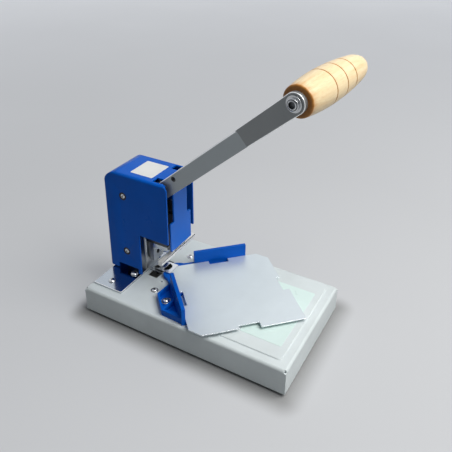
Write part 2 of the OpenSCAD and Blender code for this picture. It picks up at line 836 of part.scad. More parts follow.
module thrust_washers() {
    color(c_bronze) at_pivot() both_sides() translate([0, column_w / 2, 0]) along_y()
        ring(2 * pivot_d, pivot_d + 2 * run_clear, arm_in - column_w / 2 - slide_clear);
}

// Lever, in its own frame: X along the fork, Z square to it, pivot at the origin
module in_lever() {
    at_pivot() rotate([0, -lever_rest, 0]) children();
}

function arm_half(u) = arm_root + (arm_tip - arm_root) * u / fork_l;

module arm_2d() {
    difference() {
        union() {
            circle(hub_r);
            translate([0, arm_rise])
                polygon([[-8, -arm_root], [fork_l, -arm_tip], [fork_l, arm_tip], [-8, arm_root]]);
            rotate(pin_local) translate([0, 1 - lobe_r]) square([crank_r, 2 * lobe_r - 2]);
            translate([pin_u, pin_w]) circle(lobe_r);
        }
        circle(d = bush_d + 2 * run_clear);
        translate([pin_u, pin_w]) circle(d = pin_d + 2 * run_clear);
        translate([web_start - 2.5, arm_rise + 5]) circle(2.6);
    }
}

// All that lies between the arms, apart from the web along their upper edges
module fork_gap_2d() {
    far = 2 * hub_r + lobe_r + crank_r;
    translate([0, arm_rise]) polygon([[-far, -far], [fork_l + 1, -far], [fork_l + 1, arm_tip - web_t],
        [web_start, arm_half(web_start) - web_t], [web_start, far], [-far, far]]);
}

module lever_fork() {
    color(c_lever) in_lever() rotate([90, 0, 0]) difference() {
        linear_extrude(fork_w, center = true) arm_2d();
        linear_extrude(2 * arm_in, center = true) fork_gap_2d();
    }
}

module pivot_bushes() {
    color(c_bronze) in_lever() both_sides() translate([0, arm_in, 0]) along_y()
        ring(bush_d, pivot_d + 2 * run_clear, arm_t);
}

module at_pin() { in_lever() translate([pin_u, 0, pin_w]) children(); }

module drive_pin() {
    color(c_steel) at_pin() along_y() cylinder(d = pin_d, h = fork_w + 1, center = true);
}

module drive_roller() {
    color(c_bronze) at_pin() along_y() translate([0, 0, 0.5 - ram_w / 2])
        ring(roller_d, pin_d + 2 * run_clear, ram_w - 1);
}

// The bar's frame: X along the bar from its bend, Y through its thickness
module in_bar() {
    in_lever() translate([bend_x, bar_y, arm_rise])
        rotate([-bar_lean, bar_drop, -bar_splay]) children();
}

module lever_bar() {
    foot_top = arm_tip - web_t - wall_gap;
    color(c_lever) {
        in_lever() translate([bend_x - bar_foot_l, bar_y - bar_t / 2, arm_rise + 1 - bar_root])
            cube([bar_foot_l, bar_t, foot_top + bar_root - 1]);
        in_bar() difference() {
            union() {
                rotate([90, 0, 0]) linear_extrude(bar_t, center = true) {
                    polygon([[0, -bar_root], [bar_l, -bar_end_r], [bar_l, bar_end_r], [0, bar_root]]);
                    translate([bar_l, 0]) circle(bar_end_r);
                }
                translate([0, 0, -bar_root]) cylinder(d = bar_t, h = 2 * bar_root);
            }
            translate([bar_l, 0, 0]) along_y()
                cylinder(d = handle_screw_d + 2 * fit_clear, h = bar_t + 2, center = true);
        }
    }
}

// Handle
function belly_r(s) = s < handle_belly
    ? handle_max_r - (handle_max_r - handle_end_r) * pow((handle_belly - s) / handle_belly, 2)
    : handle_max_r - (handle_max_r - handle_neck_r)
        * pow((s - handle_belly) / (handle_l - handle_tip_l - handle_belly), 2);
function tip_share(s) = let (k = (s - handle_l + handle_tip_l) / handle_tip_l)
    k <= 0 ? 1 : sqrt(max(0, 1 - k * k));
function handle_r(s) = belly_r(s) * tip_share(s);

handle_steps = 12;
tip_steps = 8;
groove_at = [handle_l * 0.303, handle_l * 0.469, handle_l * 0.629];
thread_l = handle_l * 0.385;

module in_handle() { in_bar() translate([bar_l, bar_t / 2, 0]) along_y() children(); }

module handle() {
    body_l = handle_l - handle_tip_l;
    profile = concat([[0, 0], [handle_end_r - 2, 0]],
        [for (i = [0 : handle_steps]) let (s = max(2, body_l * i / handle_steps)) [handle_r(s), s]],
        [for (i = [1 : tip_steps - 1])
            let (s = body_l + handle_tip_l * sin(90 * i / tip_steps)) [handle_r(s), s]],
        [[0, handle_l]]);
    color(c_wood) in_handle() difference() {
        rotate_extrude() polygon(profile);
        translate([0, 0, -1]) cylinder(d = handle_screw_d + 2 * fit_clear, h = thread_l + 4);
        for (s = groove_at) rotate_extrude() translate([handle_r(s) + 0.2, s]) circle(groove_depth, $fn = 16);
    }
}

washer_t = 1.6;

module handle_washer() {
    color(c_zinc) in_handle() translate([0, 0, -bar_t - washer_t])
        ring(2 * handle_screw_d + 3, handle_screw_d + 2 * fit_clear, washer_t);
}

module handle_screw() {
    head_h = handle_screw_d * 0.55;
    head_d = handle_screw_d * 1.78;
    color(c_zinc) in_handle() translate([0, 0, -bar_t - washer_t]) difference() {
        union() {
            translate([0, 0, -eps]) cylinder(d = handle_screw_d, h = bar_t + washer_t + thread_l + eps);
            mirror([0, 0, 1]) rotate_extrude() intersection() {
                translate([0, head_h - head_d]) circle(head_d);
                square([head_d / 2, head_h]);
            }
        }
        translate([0, 0, -head_h - 1]) cylinder(d = handle_screw_d, h = head_h * 0.75 + 1, $fn = 6);
    }
}

// Ram
module ram() {
    back = column_front + 1;
    color(c_steel) difference() {
        translate([back, -ram_w / 2, ram_z]) cube([panel_x - back, ram_w, ram_top - ram_z]);
        translate([punch_x + lug_back, -ram_w, ram_z - 1]) cube([60, 2 * ram_w, lug_z - ram_z + 1]);
        translate([0, 0, ram_z - 1]) linear_extrude(ram_top - ram_z + 2) {
            translate([column_front, -rail_neck - slide_clear])
                square([rail_t + 1, 2 * (rail_neck + slide_clear)]);
            translate([rail_x - slide_clear, -rail_head - slide_clear])
                square([rail_head_t + 2 * slide_clear, 2 * (rail_head + slide_clear)]);
        }
        translate([0, 0, pin_z]) rotate([90, 0, 0]) linear_extrude(2 * ram_w, center = true) pin_slot_2d();
        both_sides() translate([clamp_x, clamp_pin_y, 0]) {
            translate([0, 0, lug_z - 1]) cylinder(d = clamp_pin_d + 0.16, h = 30);
            translate([0, 0, pin_seat]) cylinder(d = pin_head_d + 0.6, h = ram_top);
        }
        both_sides() translate([punch_x + 5.5, 10.5, ram_z - 1]) cylinder(d = m4[0] + 2 * fit_clear, h = 13);
    }
}

// The level slot in which the drive roller runs
module pin_slot_2d() {
    r = roller_d / 2 + slot_slack;
    reach = crank_r * (1 - cos(press_angle / 2));
    for (x = [pin_x - slot_slack, pin_x + reach + slot_slack]) translate([x, 0]) circle(r);
    translate([pin_x - slot_slack, -r]) square([reach + 2 * slot_slack, 2 * r]);
}

module punch_holder() {
    color(c_chrome) difference() {
        translate([punch_x - 15, -ram_w / 2 + 1, holder_z])
            cube([15 + die_front, ram_w - 2, holder_t]);
        translate([0, 0, holder_z - 1]) linear_extrude(holder_t + 2) moon_2d(moon_r + punch_clear);
        both_sides() translate([punch_x + 5.5, 10.5, holder_z - 1]) {
            cylinder(d = m4[0] + 2 * fit_clear, h = holder_t + 2);
            cylinder(d = 7 + 2 * fit_clear, h = 5);
        }
    }
}

module punch() {
    color(c_steel) translate([0, 0, punch_z]) linear_extrude(punch_out + holder_t) moon_2d(moon_r);
}

module holder_screws() {
    color(c_dark) both_sides() translate([punch_x + 5.5, 10.5, holder_z]) difference() {
        union() {
            cylinder(d = m4[0], h = holder_t + 11);
            cylinder(d = 7, h = 4 - fit_clear);
        }
        translate([0, 0, -1]) cylinder(d = 3.4, h = 3, $fn = 6);
    }
}

module front_panel() {
    z = ram_z + panel_lift;
    panel_high_h = cover_ceiling - panel_top_gap - z - panel_low_h;
    color(c_blue) translate([panel_x, 0, 0]) rotate([90, 0, 90]) linear_extrude(panel_t) {
        translate([0, z + panel_low_h / 2]) rounded(panel_low_w, panel_low_h, 2);
        translate([-panel_high_w / 2, z + panel_low_h / 2])
            square([panel_high_w, panel_low_h / 2 + panel_high_h - 2]);
        translate([0, z + panel_low_h + panel_high_h / 2]) rounded(panel_high_w, panel_high_h, 2);
    }
}

// Paper clamp
module clamp_bar() {
    color(c_chrome) difference() {
        translate([clamp_x, 0, clamp_top]) mirror([0, 0, 1]) rotate([90, 0, 0])
            linear_extrude(clamp_l, center = true) arch(clamp_d, clamp_h, 2);
        both_sides() translate([clamp_x, clamp_pin_y, clamp_top - pin_hold - fit_clear])
            cylinder(d = clamp_pin_d + 2 * run_clear, h = 2 * pin_hold);
    }
}

module clamp_pins() {
    color(c_chrome) both_sides() translate([clamp_x, clamp_pin_y, 0]) {
        translate([0, 0, clamp_top - pin_hold])
            cylinder(d = clamp_pin_d, h = pin_seat - clamp_top + pin_hold + 1);
        translate([0, 0, pin_seat + fit_clear]) cylinder(d = pin_head_d, h = pin_head_h);
    }
}

module clamp_springs() {
    color(c_steel) both_sides() translate([clamp_x, clamp_pin_y, 0]) wire(clamp_path, clamp_wire_d);
}

module return_spring() {
    color(c_steel) translate([return_x, 0, 0]) wire(return_path, return_wire_d);
}

base_pan();
rubber_feet();
foot_plate();
foot_screws();
base_screws();
column();
column_bolts();
ram_rail();
rail_screws();
spring_bracket();
bracket_screws();
cover();
cover_spacers();
cover_screws();
lower_die();
die_screws();
guide_near();
guide_far();
guide_screws();
guide_washers();
table_plate();
table_buffers();
pivot_shaft();
pivot_rings();
thrust_washers();
lever_fork();
pivot_bushes();
drive_pin();
drive_roller();
lever_bar();
handle();
handle_screw();
handle_washer();
ram();
punch_holder();
punch();
holder_screws();
front_panel();
clamp_bar();
clamp_pins();
clamp_springs();
return_spring();
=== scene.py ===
"""Dresses the half moon calendar punch: finishes, handle, screws, springs, plates and studio."""
import json
import logging
import math
from dataclasses import dataclass, field
from enum import Enum
from functools import cache
from typing import Callable, Optional, Protocol, Union

import bmesh
import bpy
from mathutils import Matrix, Quaternion, Vector


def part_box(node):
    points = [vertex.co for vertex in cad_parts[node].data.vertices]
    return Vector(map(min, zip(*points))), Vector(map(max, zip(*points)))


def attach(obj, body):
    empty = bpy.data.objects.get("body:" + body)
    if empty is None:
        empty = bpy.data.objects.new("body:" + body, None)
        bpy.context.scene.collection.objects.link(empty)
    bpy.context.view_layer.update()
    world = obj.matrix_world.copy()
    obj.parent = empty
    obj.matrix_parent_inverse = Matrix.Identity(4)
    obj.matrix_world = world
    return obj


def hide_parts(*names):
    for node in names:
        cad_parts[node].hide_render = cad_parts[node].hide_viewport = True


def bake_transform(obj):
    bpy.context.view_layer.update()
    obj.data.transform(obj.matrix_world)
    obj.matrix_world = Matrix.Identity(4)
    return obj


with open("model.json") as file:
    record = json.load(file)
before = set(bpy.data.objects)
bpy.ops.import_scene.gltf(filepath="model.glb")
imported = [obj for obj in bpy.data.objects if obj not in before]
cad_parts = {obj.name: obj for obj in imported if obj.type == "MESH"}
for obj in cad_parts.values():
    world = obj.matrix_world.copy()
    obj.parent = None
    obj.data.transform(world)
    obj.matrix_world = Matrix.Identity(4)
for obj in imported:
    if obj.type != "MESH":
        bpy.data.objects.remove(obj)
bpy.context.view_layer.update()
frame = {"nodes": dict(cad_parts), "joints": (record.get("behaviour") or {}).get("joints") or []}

MM = 0.001
# Side of the photograph's square frame in pixels
PHOTO_SIDE = 452
# Points closer than this, in metres, are one point
WELD = 2e-6
# Edges shorter than this, in metres, are dropped from flats with pockets
SLIVER = 3e-5
# Lengths within this, in metres, count as equal
SAME = 1e-5
# Lengths shorter than this, in metres, count as zero
TINY = 1e-7
# Faces that turn by less than this, in degrees, make one flat
FLAT_ANGLE = 0.6
# Edges sharper than this, in degrees, stay sharp and get a round
SHARP_ANGLE = 35.0
# Range that holds most of a noise texture's values
NOISE_LOW, NOISE_HIGH = 0.3, 0.7

log = logging.getLogger("calendar_punch")

Colour = tuple[float, float, float]
Point = tuple[float, float, float]
Pair = tuple[float, float]
Place = tuple[Vector, Quaternion]
Piece = bpy.types.Object
Shape = bmesh.types.BMesh
Socket = bpy.types.NodeSocket
Inputs = dict[Union[str, int], object]


class Body(str, Enum):
    """The moving groups of the press."""

    FRAME = "frame"
    LEVER = "lever"
    RAM = "ram"
    CLAMP = "clamp"


class Axis(Enum):
    """Directions in which a screw's head can point."""

    UP = (0.0, 0.0, 1.0)
    NEAR = (0.0, -1.0, 0.0)
    FAR = (0.0, 1.0, 0.0)

    def turn(self, spin: float) -> Quaternion:
        """Returns the rotation that points +Z this way after a spin about +Z, in radians."""
        tilt = Vector((0, 0, 1)).rotation_difference(Vector(self.value))
        return tilt @ Quaternion((0, 0, 1), spin)


class NodeTree:
    """Adds and links the nodes of a shader tree."""

    def __init__(self, tree: bpy.types.NodeTree) -> None:
        """Takes the tree that the nodes go into."""
        self.tree = tree

    def fill(self, into: Socket, value: object) -> None:
        """Feeds an input of a node.

        Args:
            into: The input.
            value: A socket to link to it, or the value to set it to.
        """
        if isinstance(value, Socket):
            self.tree.links.new(value, into)
        else:
            into.default_value = value

    def add(self, kind: str, inputs: Optional[Inputs] = None, **values: object) -> bpy.types.Node:
        """Adds a node.

        Args:
            kind: Blender's name for the node type.
            inputs: Sockets and values for the node's inputs, by name or by place.
            values: Properties to set on the node.

        Returns:
            The new node.
        """
        node = self.tree.nodes.new(kind)
        for key, value in values.items():
            setattr(node, key, value)
        for key, value in (inputs or {}).items():
            self.fill(node.inputs[key], value)
        return node

    def maths(self, operation: str, *terms: object) -> Socket:
        """Adds a sum of numbers.

        Args:
            operation: Blender's name for the operation.
            terms: Sockets or numbers, in the order of the node's inputs.

        Returns:
            The result.
        """
        node = self.add("ShaderNodeMath", dict(enumerate(terms)), operation=operation)
        return node.outputs[0]

    def vectors(self, operation: str, *terms: object, out: str = "Vector") -> Socket:
        """Adds a sum of vectors.

        Args:
            operation: Blender's name for the operation.
            terms: Sockets or vectors, in the order of the node's inputs.
            out: Name of the output to use.

        Returns:
            The result.
        """
        node = self.add("ShaderNodeVectorMath", dict(enumerate(terms)), operation=operation)
        return node.outputs[out]

    def place(self, scale: Point = (1, 1, 1), attribute: str = "") -> Socket:
        """Gives texture coordinates in metres.

        Args:
            scale: Stretch along each axis.
            attribute: A vector attribute to read in place of the object's coordinates.

        Returns:
            The scaled coordinates.
        """
        if attribute:
            source = self.add("ShaderNodeAttribute", attribute_name=attribute).outputs["Vector"]
        else:
            source = self.add("ShaderNodeTexCoord").outputs["Object"]
        mapping = self.add("ShaderNodeMapping", {"Vector": source, "Scale": scale})
        return mapping.outputs["Vector"]

    def noise(self, vector: Socket, scale: float, detail: float = 3.0,
              rough: float = 0.5) -> Socket:
        """Adds a noise texture.

        Args:
            vector: Coordinates.
            scale: Features per metre.
            detail: Octaves.
            rough: Strength of the finer octaves.

        Returns:
            The noise value.
        """
        node = self.add("ShaderNodeTexNoise", {
            "Vector": vector, "Scale": scale, "Detail": detail, "Roughness": rough})
        return node.outputs["Fac"]

    def remap(self, value: Socket, low: float, high: float, start: float = NOISE_LOW,
              end: float = NOISE_HIGH, smooth: bool = False) -> Socket:
        """Maps a value's range from start..end to low..high.

        Args:
            value: The value to map.
            low: Result at start.
            high: Result at end.
            start: Lower end of the value's range.
            end: Upper end of the value's range.
            smooth: Whether the change eases in and out.

        Returns:
            The mapped value.
        """
        node = self.add(
            "ShaderNodeMapRange",
            {"Value": value, "From Min": start, "From Max": end, "To Min": low, "To Max": high},
            interpolation_type="SMOOTHSTEP" if smooth else "LINEAR",
        )
        return node.outputs["Result"]

    def fade(self, value: Socket, first: Colour, second: Colour, start: float = NOISE_LOW,
             end: float = NOISE_HIGH) -> Socket:
        """Maps a value to a colour between two.

        Args:
            value: The value, from 0 to 1.
            first: Colour up to start.
            second: Colour from end.
            start: Value at which the change begins.
            end: Value at which it ends.

        Returns:
            The colour.
        """
        node = self.add("ShaderNodeValToRGB", {"Fac": value})
        stops = ((start, first), (end, second))
        for element, (stop, colour) in zip(node.color_ramp.elements, stops):
            element.position = stop
            element.color = (*colour, 1.0)
        return node.outputs["Color"]

    def mix(self, share: Socket, first: Socket, second: Socket) -> Socket:
        """Mixes two colours.

        Args:
            share: Share of the second colour.
            first: The first colour.
            second: The second colour.

        Returns:
            The mixed colour.
        """
        inputs = {"Factor": share, "A": first, "B": second}
        return self.add("ShaderNodeMix", inputs, data_type="RGBA").outputs["Result"]

    def bump(self, height: Socket, distance: float, strength: float,
             under: Optional[Socket] = None) -> Socket:
        """Turns a height into a normal.

        Args:
            height: The height value.
            distance: Depth in metres.
            strength: Share of the effect.
            under: A normal that this one builds on.

        Returns:
            The normal.
        """
        inputs = {"Height": height, "Distance": distance, "Strength": strength}
        if under is not None:
            inputs["Normal"] = under
        return self.add("ShaderNodeBump", inputs).outputs["Normal"]


class Surface(NodeTree):
    """A material with one shader."""

    def __init__(self, name: str) -> None:
        """Makes the material.

        Args:
            name: The material's name.
        """
        self.material = bpy.data.materials.new(name)
        self.material.use_nodes = True
        super().__init__(self.material.node_tree)
        self.tree.nodes.clear()
        self.shader = self.add("ShaderNodeBsdfPrincipled")
        self.add("ShaderNodeOutputMaterial", {"Surface": self.shader.outputs["BSDF"]})

    def feed(self, **values: object) -> None:
        """Feeds the shader's inputs, which are named with underscores for blanks."""
        for name, value in values.items():
            self.fill(self.shader.inputs[name.replace("_", " ")], value)


def shade(colour: Colour, factor: float) -> Colour:
    """Returns a colour multiplied by a factor, with 1 as the limit."""
    return tuple(min(1.0, part * factor) for part in colour)


@dataclass(frozen=True)
class Enamel:
    """Stoved paint on sheet metal: faint orange peel, small colour drift and dust in the gloss.

    Attributes:
        name: Name of the material.
        colour: Linear colour of the paint.
        roughness: Mean roughness.
        peel: Depth of the orange peel in metres.
        coat: Weight of the clear coat.
        gloss: Specular level of the paint.
        smear: How far the roughness changes over the surface.
    """

    name: str
    colour: Colour
    roughness: float
    peel: float
    coat: float = 0.0
    gloss: float = 0.5
    smear: float = 0.075

    def material(self) -> bpy.types.Material:
        """Builds the paint's nodes.

        Returns:
            The material.
        """
        tree = Surface(f"{self.name}_finish")
        place = tree.place()
        drift = tree.noise(place, 18, detail=4, rough=0.55)
        speck = tree.noise(place, 900, detail=2)
        peel = tree.noise(place, 1400, detail=2, rough=0.4)
        smear = tree.noise(tree.place((1.0, 2.6, 0.7)), 46, detail=5, rough=0.62)
        under = tree.bump(peel, self.peel, strength=0.6)
        tree.feed(
            Base_Color=tree.fade(drift, shade(self.colour, 0.93), shade(self.colour, 1.06)),
            Roughness=tree.remap(smear, self.roughness - self.smear, self.roughness + self.smear),
            Normal=tree.bump(speck, self.peel * 0.5, strength=0.35, under=under),
            Coat_Weight=self.coat,
            Coat_Roughness=0.18,
            Specular_IOR_Level=self.gloss,
        )
        return tree.material


@dataclass(frozen=True)
class Metal:
    """Bare or plated metal with grinding marks along one axis and finger smears.

    Attributes:
        name: Name of the material.
        colour: Linear colour of the metal.
        roughness: Mean roughness.
        grain: Stretch of the grinding marks along each axis; a small value draws them out.
        depth: Depth of the marks in metres.
        metallic: Share of metal in the surface.
        drift: Size of the colour's change.
        smear: How far finger smears change the roughness.
    """

    name: str
    colour: Colour
    roughness: float
    grain: Point = (1.0, 1.0, 1.0)
    depth: float = 4e-6
    metallic: float = 1.0
    drift: float = 0.08
    smear: float = 0.055

    def material(self) -> bpy.types.Material:
        """Builds the metal's nodes.

        Returns:
            The material.
        """
        tree = Surface(f"{self.name}_finish")
        marks = tree.noise(tree.place(self.grain), 1500, detail=4, rough=0.6)
        smear = tree.noise(tree.place(), 34, detail=4, rough=0.6)
        low, high = shade(self.colour, 1 - self.drift), shade(self.colour, 1 + self.drift)
        tree.feed(
            Base_Color=tree.mix(
                tree.remap(marks, 0.0, 0.45),
                tree.fade(smear, low, high),
                tree.fade(marks, shade(low, 0.94), high),
            ),
            Roughness=tree.maths(
                "ADD",
                tree.remap(smear, -self.smear, self.smear),
                tree.remap(marks, self.roughness - 0.04, self.roughness + 0.06),
            ),
            Normal=tree.bump(marks, self.depth, strength=0.7),
            Metallic=self.metallic,
        )
        return tree.material


@dataclass(frozen=True)
class TurnedWood:
    """Pale lacquered beech, scorched at the end by the bar and along its turned grooves.

    Attributes:
        name: Name of the material.
        pale: Linear colour of the early wood.
        grain: Linear colour of the late wood.
        amber: Linear colour of the browned wood.
        scorch: Linear colour of the burnt wood.
    """

    name: str
    pale: Colour
    grain: Colour
    amber: Colour
    scorch: Colour

    def material(self) -> bpy.types.Material:
        """Builds the wood's nodes, which read the piece's own turned and burn attributes.

        Returns:
            The material.
        """
        tree = Surface(f"{self.name}_finish")
        along = tree.noise(tree.place((1.0, 1.0, 0.05), "turned"), 260, detail=5, rough=0.55)
        flecks = tree.noise(tree.place((1.0, 1.0, 0.16), "turned"), 900, detail=2)
        broad = tree.noise(tree.place((1.0, 1.0, 0.12), "turned"), 40)
        wood = tree.mix(
            tree.remap(flecks, 0.0, 0.45, start=0.52, end=0.72),
            tree.fade(along, self.pale, self.grain, start=0.32, end=0.68),
            tree.fade(broad, shade(self.grain, 0.92), shade(self.grain, 0.74)),
        )
        burn = tree.add("ShaderNodeAttribute", attribute_name="burn").outputs["Fac"]
        uneven = tree.maths("MULTIPLY_ADD", along, 0.35, burn)
        browned = tree.mix(
            tree.remap(uneven, 0.0, 1.0, start=0.2, end=0.68),
            wood,
            tree.fade(broad, self.amber, shade(self.amber, 1.3), start=0.2, end=0.8),
        )
        burnt = tree.mix(
            tree.remap(uneven, 0.0, 1.0, start=0.55, end=1.1),
            browned,
            tree.fade(broad, self.scorch, shade(self.scorch, 1.8), start=0.2, end=0.8),
        )
        tree.feed(
            Base_Color=burnt,
            Roughness=tree.remap(broad, 0.30, 0.42),
            Normal=tree.bump(along, 6e-5, strength=0.4),
            Coat_Weight=0.2,
            Coat_Roughness=0.25,
            Specular_IOR_Level=0.25,
        )
        return tree.material


@dataclass(frozen=True)
class Rubber:
    """Matt moulded rubber with a fine sparkle of talc.

    Attributes:
        name: Name of the material.
        colour: Linear colour.
    """

    name: str
    colour: Colour

    def material(self) -> bpy.types.Material:
        """Builds the rubber's nodes.

        Returns:
            The material.
        """
        tree = Surface(f"{self.name}_finish")
        grit = tree.noise(tree.place(), 1600, rough=0.6)
        dust = tree.noise(tree.place(), 60, detail=4, rough=0.6)
        tree.feed(
            Base_Color=tree.fade(dust, self.colour, shade(self.colour, 2.2), end=0.75),
            Roughness=tree.remap(dust, 0.7, 0.9),
            Normal=tree.bump(grit, 3e-5, strength=0.5),
        )
        return tree.material


@dataclass(frozen=True)
class Film:
    """The pale film of a bare self-adhesive plate, with a soft sheen and a faint tint.

    Attributes:
        name: Name of the material.
        colour: Linear colour.
        roughness: Mean roughness.
    """

    name: str
    colour: Colour
    roughness: float = 0.32

    def material(self) -> bpy.types.Material:
        """Builds the film's nodes.

        Returns:
            The material.
        """
        tree = Surface(f"{self.name}_finish")
        cloud = tree.noise(tree.place(), 42)
        fibre = tree.noise(tree.place(), 2200, detail=2)
        tree.feed(
            Base_Color=tree.fade(cloud, shade(self.colour, 0.95), self.colour),
            Roughness=tree.remap(cloud, self.roughness - 0.05, self.roughness + 0.08),
            Normal=tree.bump(fibre, 6e-6, strength=0.5),
        )
        return tree.material


class Finish(Enum):
    """Every finish on the press."""

    GREY_ENAMEL = Enamel(
        "grey_enamel", (0.715, 0.785, 0.80), roughness=0.38, peel=14e-6, coat=0.1, gloss=0.4)
    BLUE_ENAMEL = Enamel(
        "blue_enamel", (0.0016, 0.112, 0.575), roughness=0.34, peel=8e-6, gloss=0.1)
    # A lighter copy of the blue enamel: painted light on the front panel, which faces the light.
    LIT_PANEL_ENAMEL = Enamel(
        "lit_panel_enamel", (0.008, 0.145, 0.66), roughness=0.32, peel=6e-6, gloss=0.22, smear=0.03)
    ZINC = Metal(
        "zinc", (0.60, 0.61, 0.62), roughness=0.2, grain=(1.0, 1.0, 0.6), depth=2e-6, drift=0.06)
    PLATE_ZINC = Metal(
        "plate_zinc", (0.46, 0.50, 0.54), roughness=0.13, grain=(1.0, 0.1, 1.0), depth=8e-7,
        drift=0.05)
    MACHINED = Metal(
        "machined", (0.46, 0.47, 0.48), roughness=0.33, grain=(1.0, 1.0, 0.05), depth=5e-6)
    BRIGHT_STEEL = Metal(
        "bright_steel", (0.74, 0.76, 0.78), roughness=0.2, grain=(1.0, 0.12, 1.0), depth=2e-6,
        drift=0.04)
    TABLE_STEEL = Metal(
        "table_steel", (0.705, 0.77, 0.795), roughness=0.40, grain=(0.08, 1.0, 1.0), depth=0.0,
        metallic=0.6, drift=0.03, smear=0.03)
    BLACK_STEEL = Metal(
        "black_steel", (0.035, 0.036, 0.04), roughness=0.42, depth=3e-6, metallic=0.7)
    # Lit and shaded copies of one lever steel: the fork's lighter tone and the bar's darker one
    # paint the change of light at the bar's bend.
    LIT_FORK_STEEL = Metal(
        "lit_fork_steel", (0.365, 0.40, 0.415), roughness=0.42, grain=(0.25, 1.0, 0.25), depth=3e-6,
        metallic=0.55, drift=0.05)
    SHADED_LEVER_STEEL = Metal(
        "lever_steel", (0.255, 0.27, 0.275), roughness=0.42, grain=(0.25, 1.0, 0.25), depth=3e-6,
        metallic=0.55, drift=0.05)
    # Bright bare metal for rounded edges: partly edge wear, partly a painted highlight line.
    WORN_HIGHLIGHT_EDGE = Metal(
        "worn_highlight_edge", (0.90, 0.91, 0.91), roughness=0.38, depth=3e-6, metallic=0.9, drift=0.12)
    # Near-black steel: partly the ram's dark finish, partly painted shade where the ram shows in
    # the gap beside the front panel; also used for the handle screw's painted shade and dark
    # painted reflection.
    DARK_STEEL_AND_SHADE = Metal(
        "dark_steel_and_shade", (0.10, 0.105, 0.11), roughness=0.38, grain=(1.0, 1.0, 0.05), metallic=0.9)
    SATIN_STEEL = Metal(
        "satin_steel", (0.86, 0.85, 0.83), roughness=0.42, grain=(0.2, 1.0, 1.0), depth=3e-6,
        metallic=0.35, drift=0.06)
    BRONZE = Metal("bronze", (0.50, 0.28, 0.10), roughness=0.38)
    SPRING_STEEL = Metal("spring_steel", (0.52, 0.53, 0.54), roughness=0.25)
    BEECH = TurnedWood(
        "beech", pale=(0.88, 0.73, 0.47), grain=(0.83, 0.61, 0.33), amber=(0.50, 0.21, 0.04),
        scorch=(0.13, 0.045, 0.008))
    RUBBER = Rubber("rubber", (0.018, 0.018, 0.018))
    WHITE_FILM = Film("white_film", (0.83, 0.845, 0.84))
    MINT_FILM = Film("mint_film", (0.75, 0.92, 0.89))

    @cache
    def get(self) -> bpy.types.Material:
        """Returns the finish's material, built once."""
        return self.value.material()


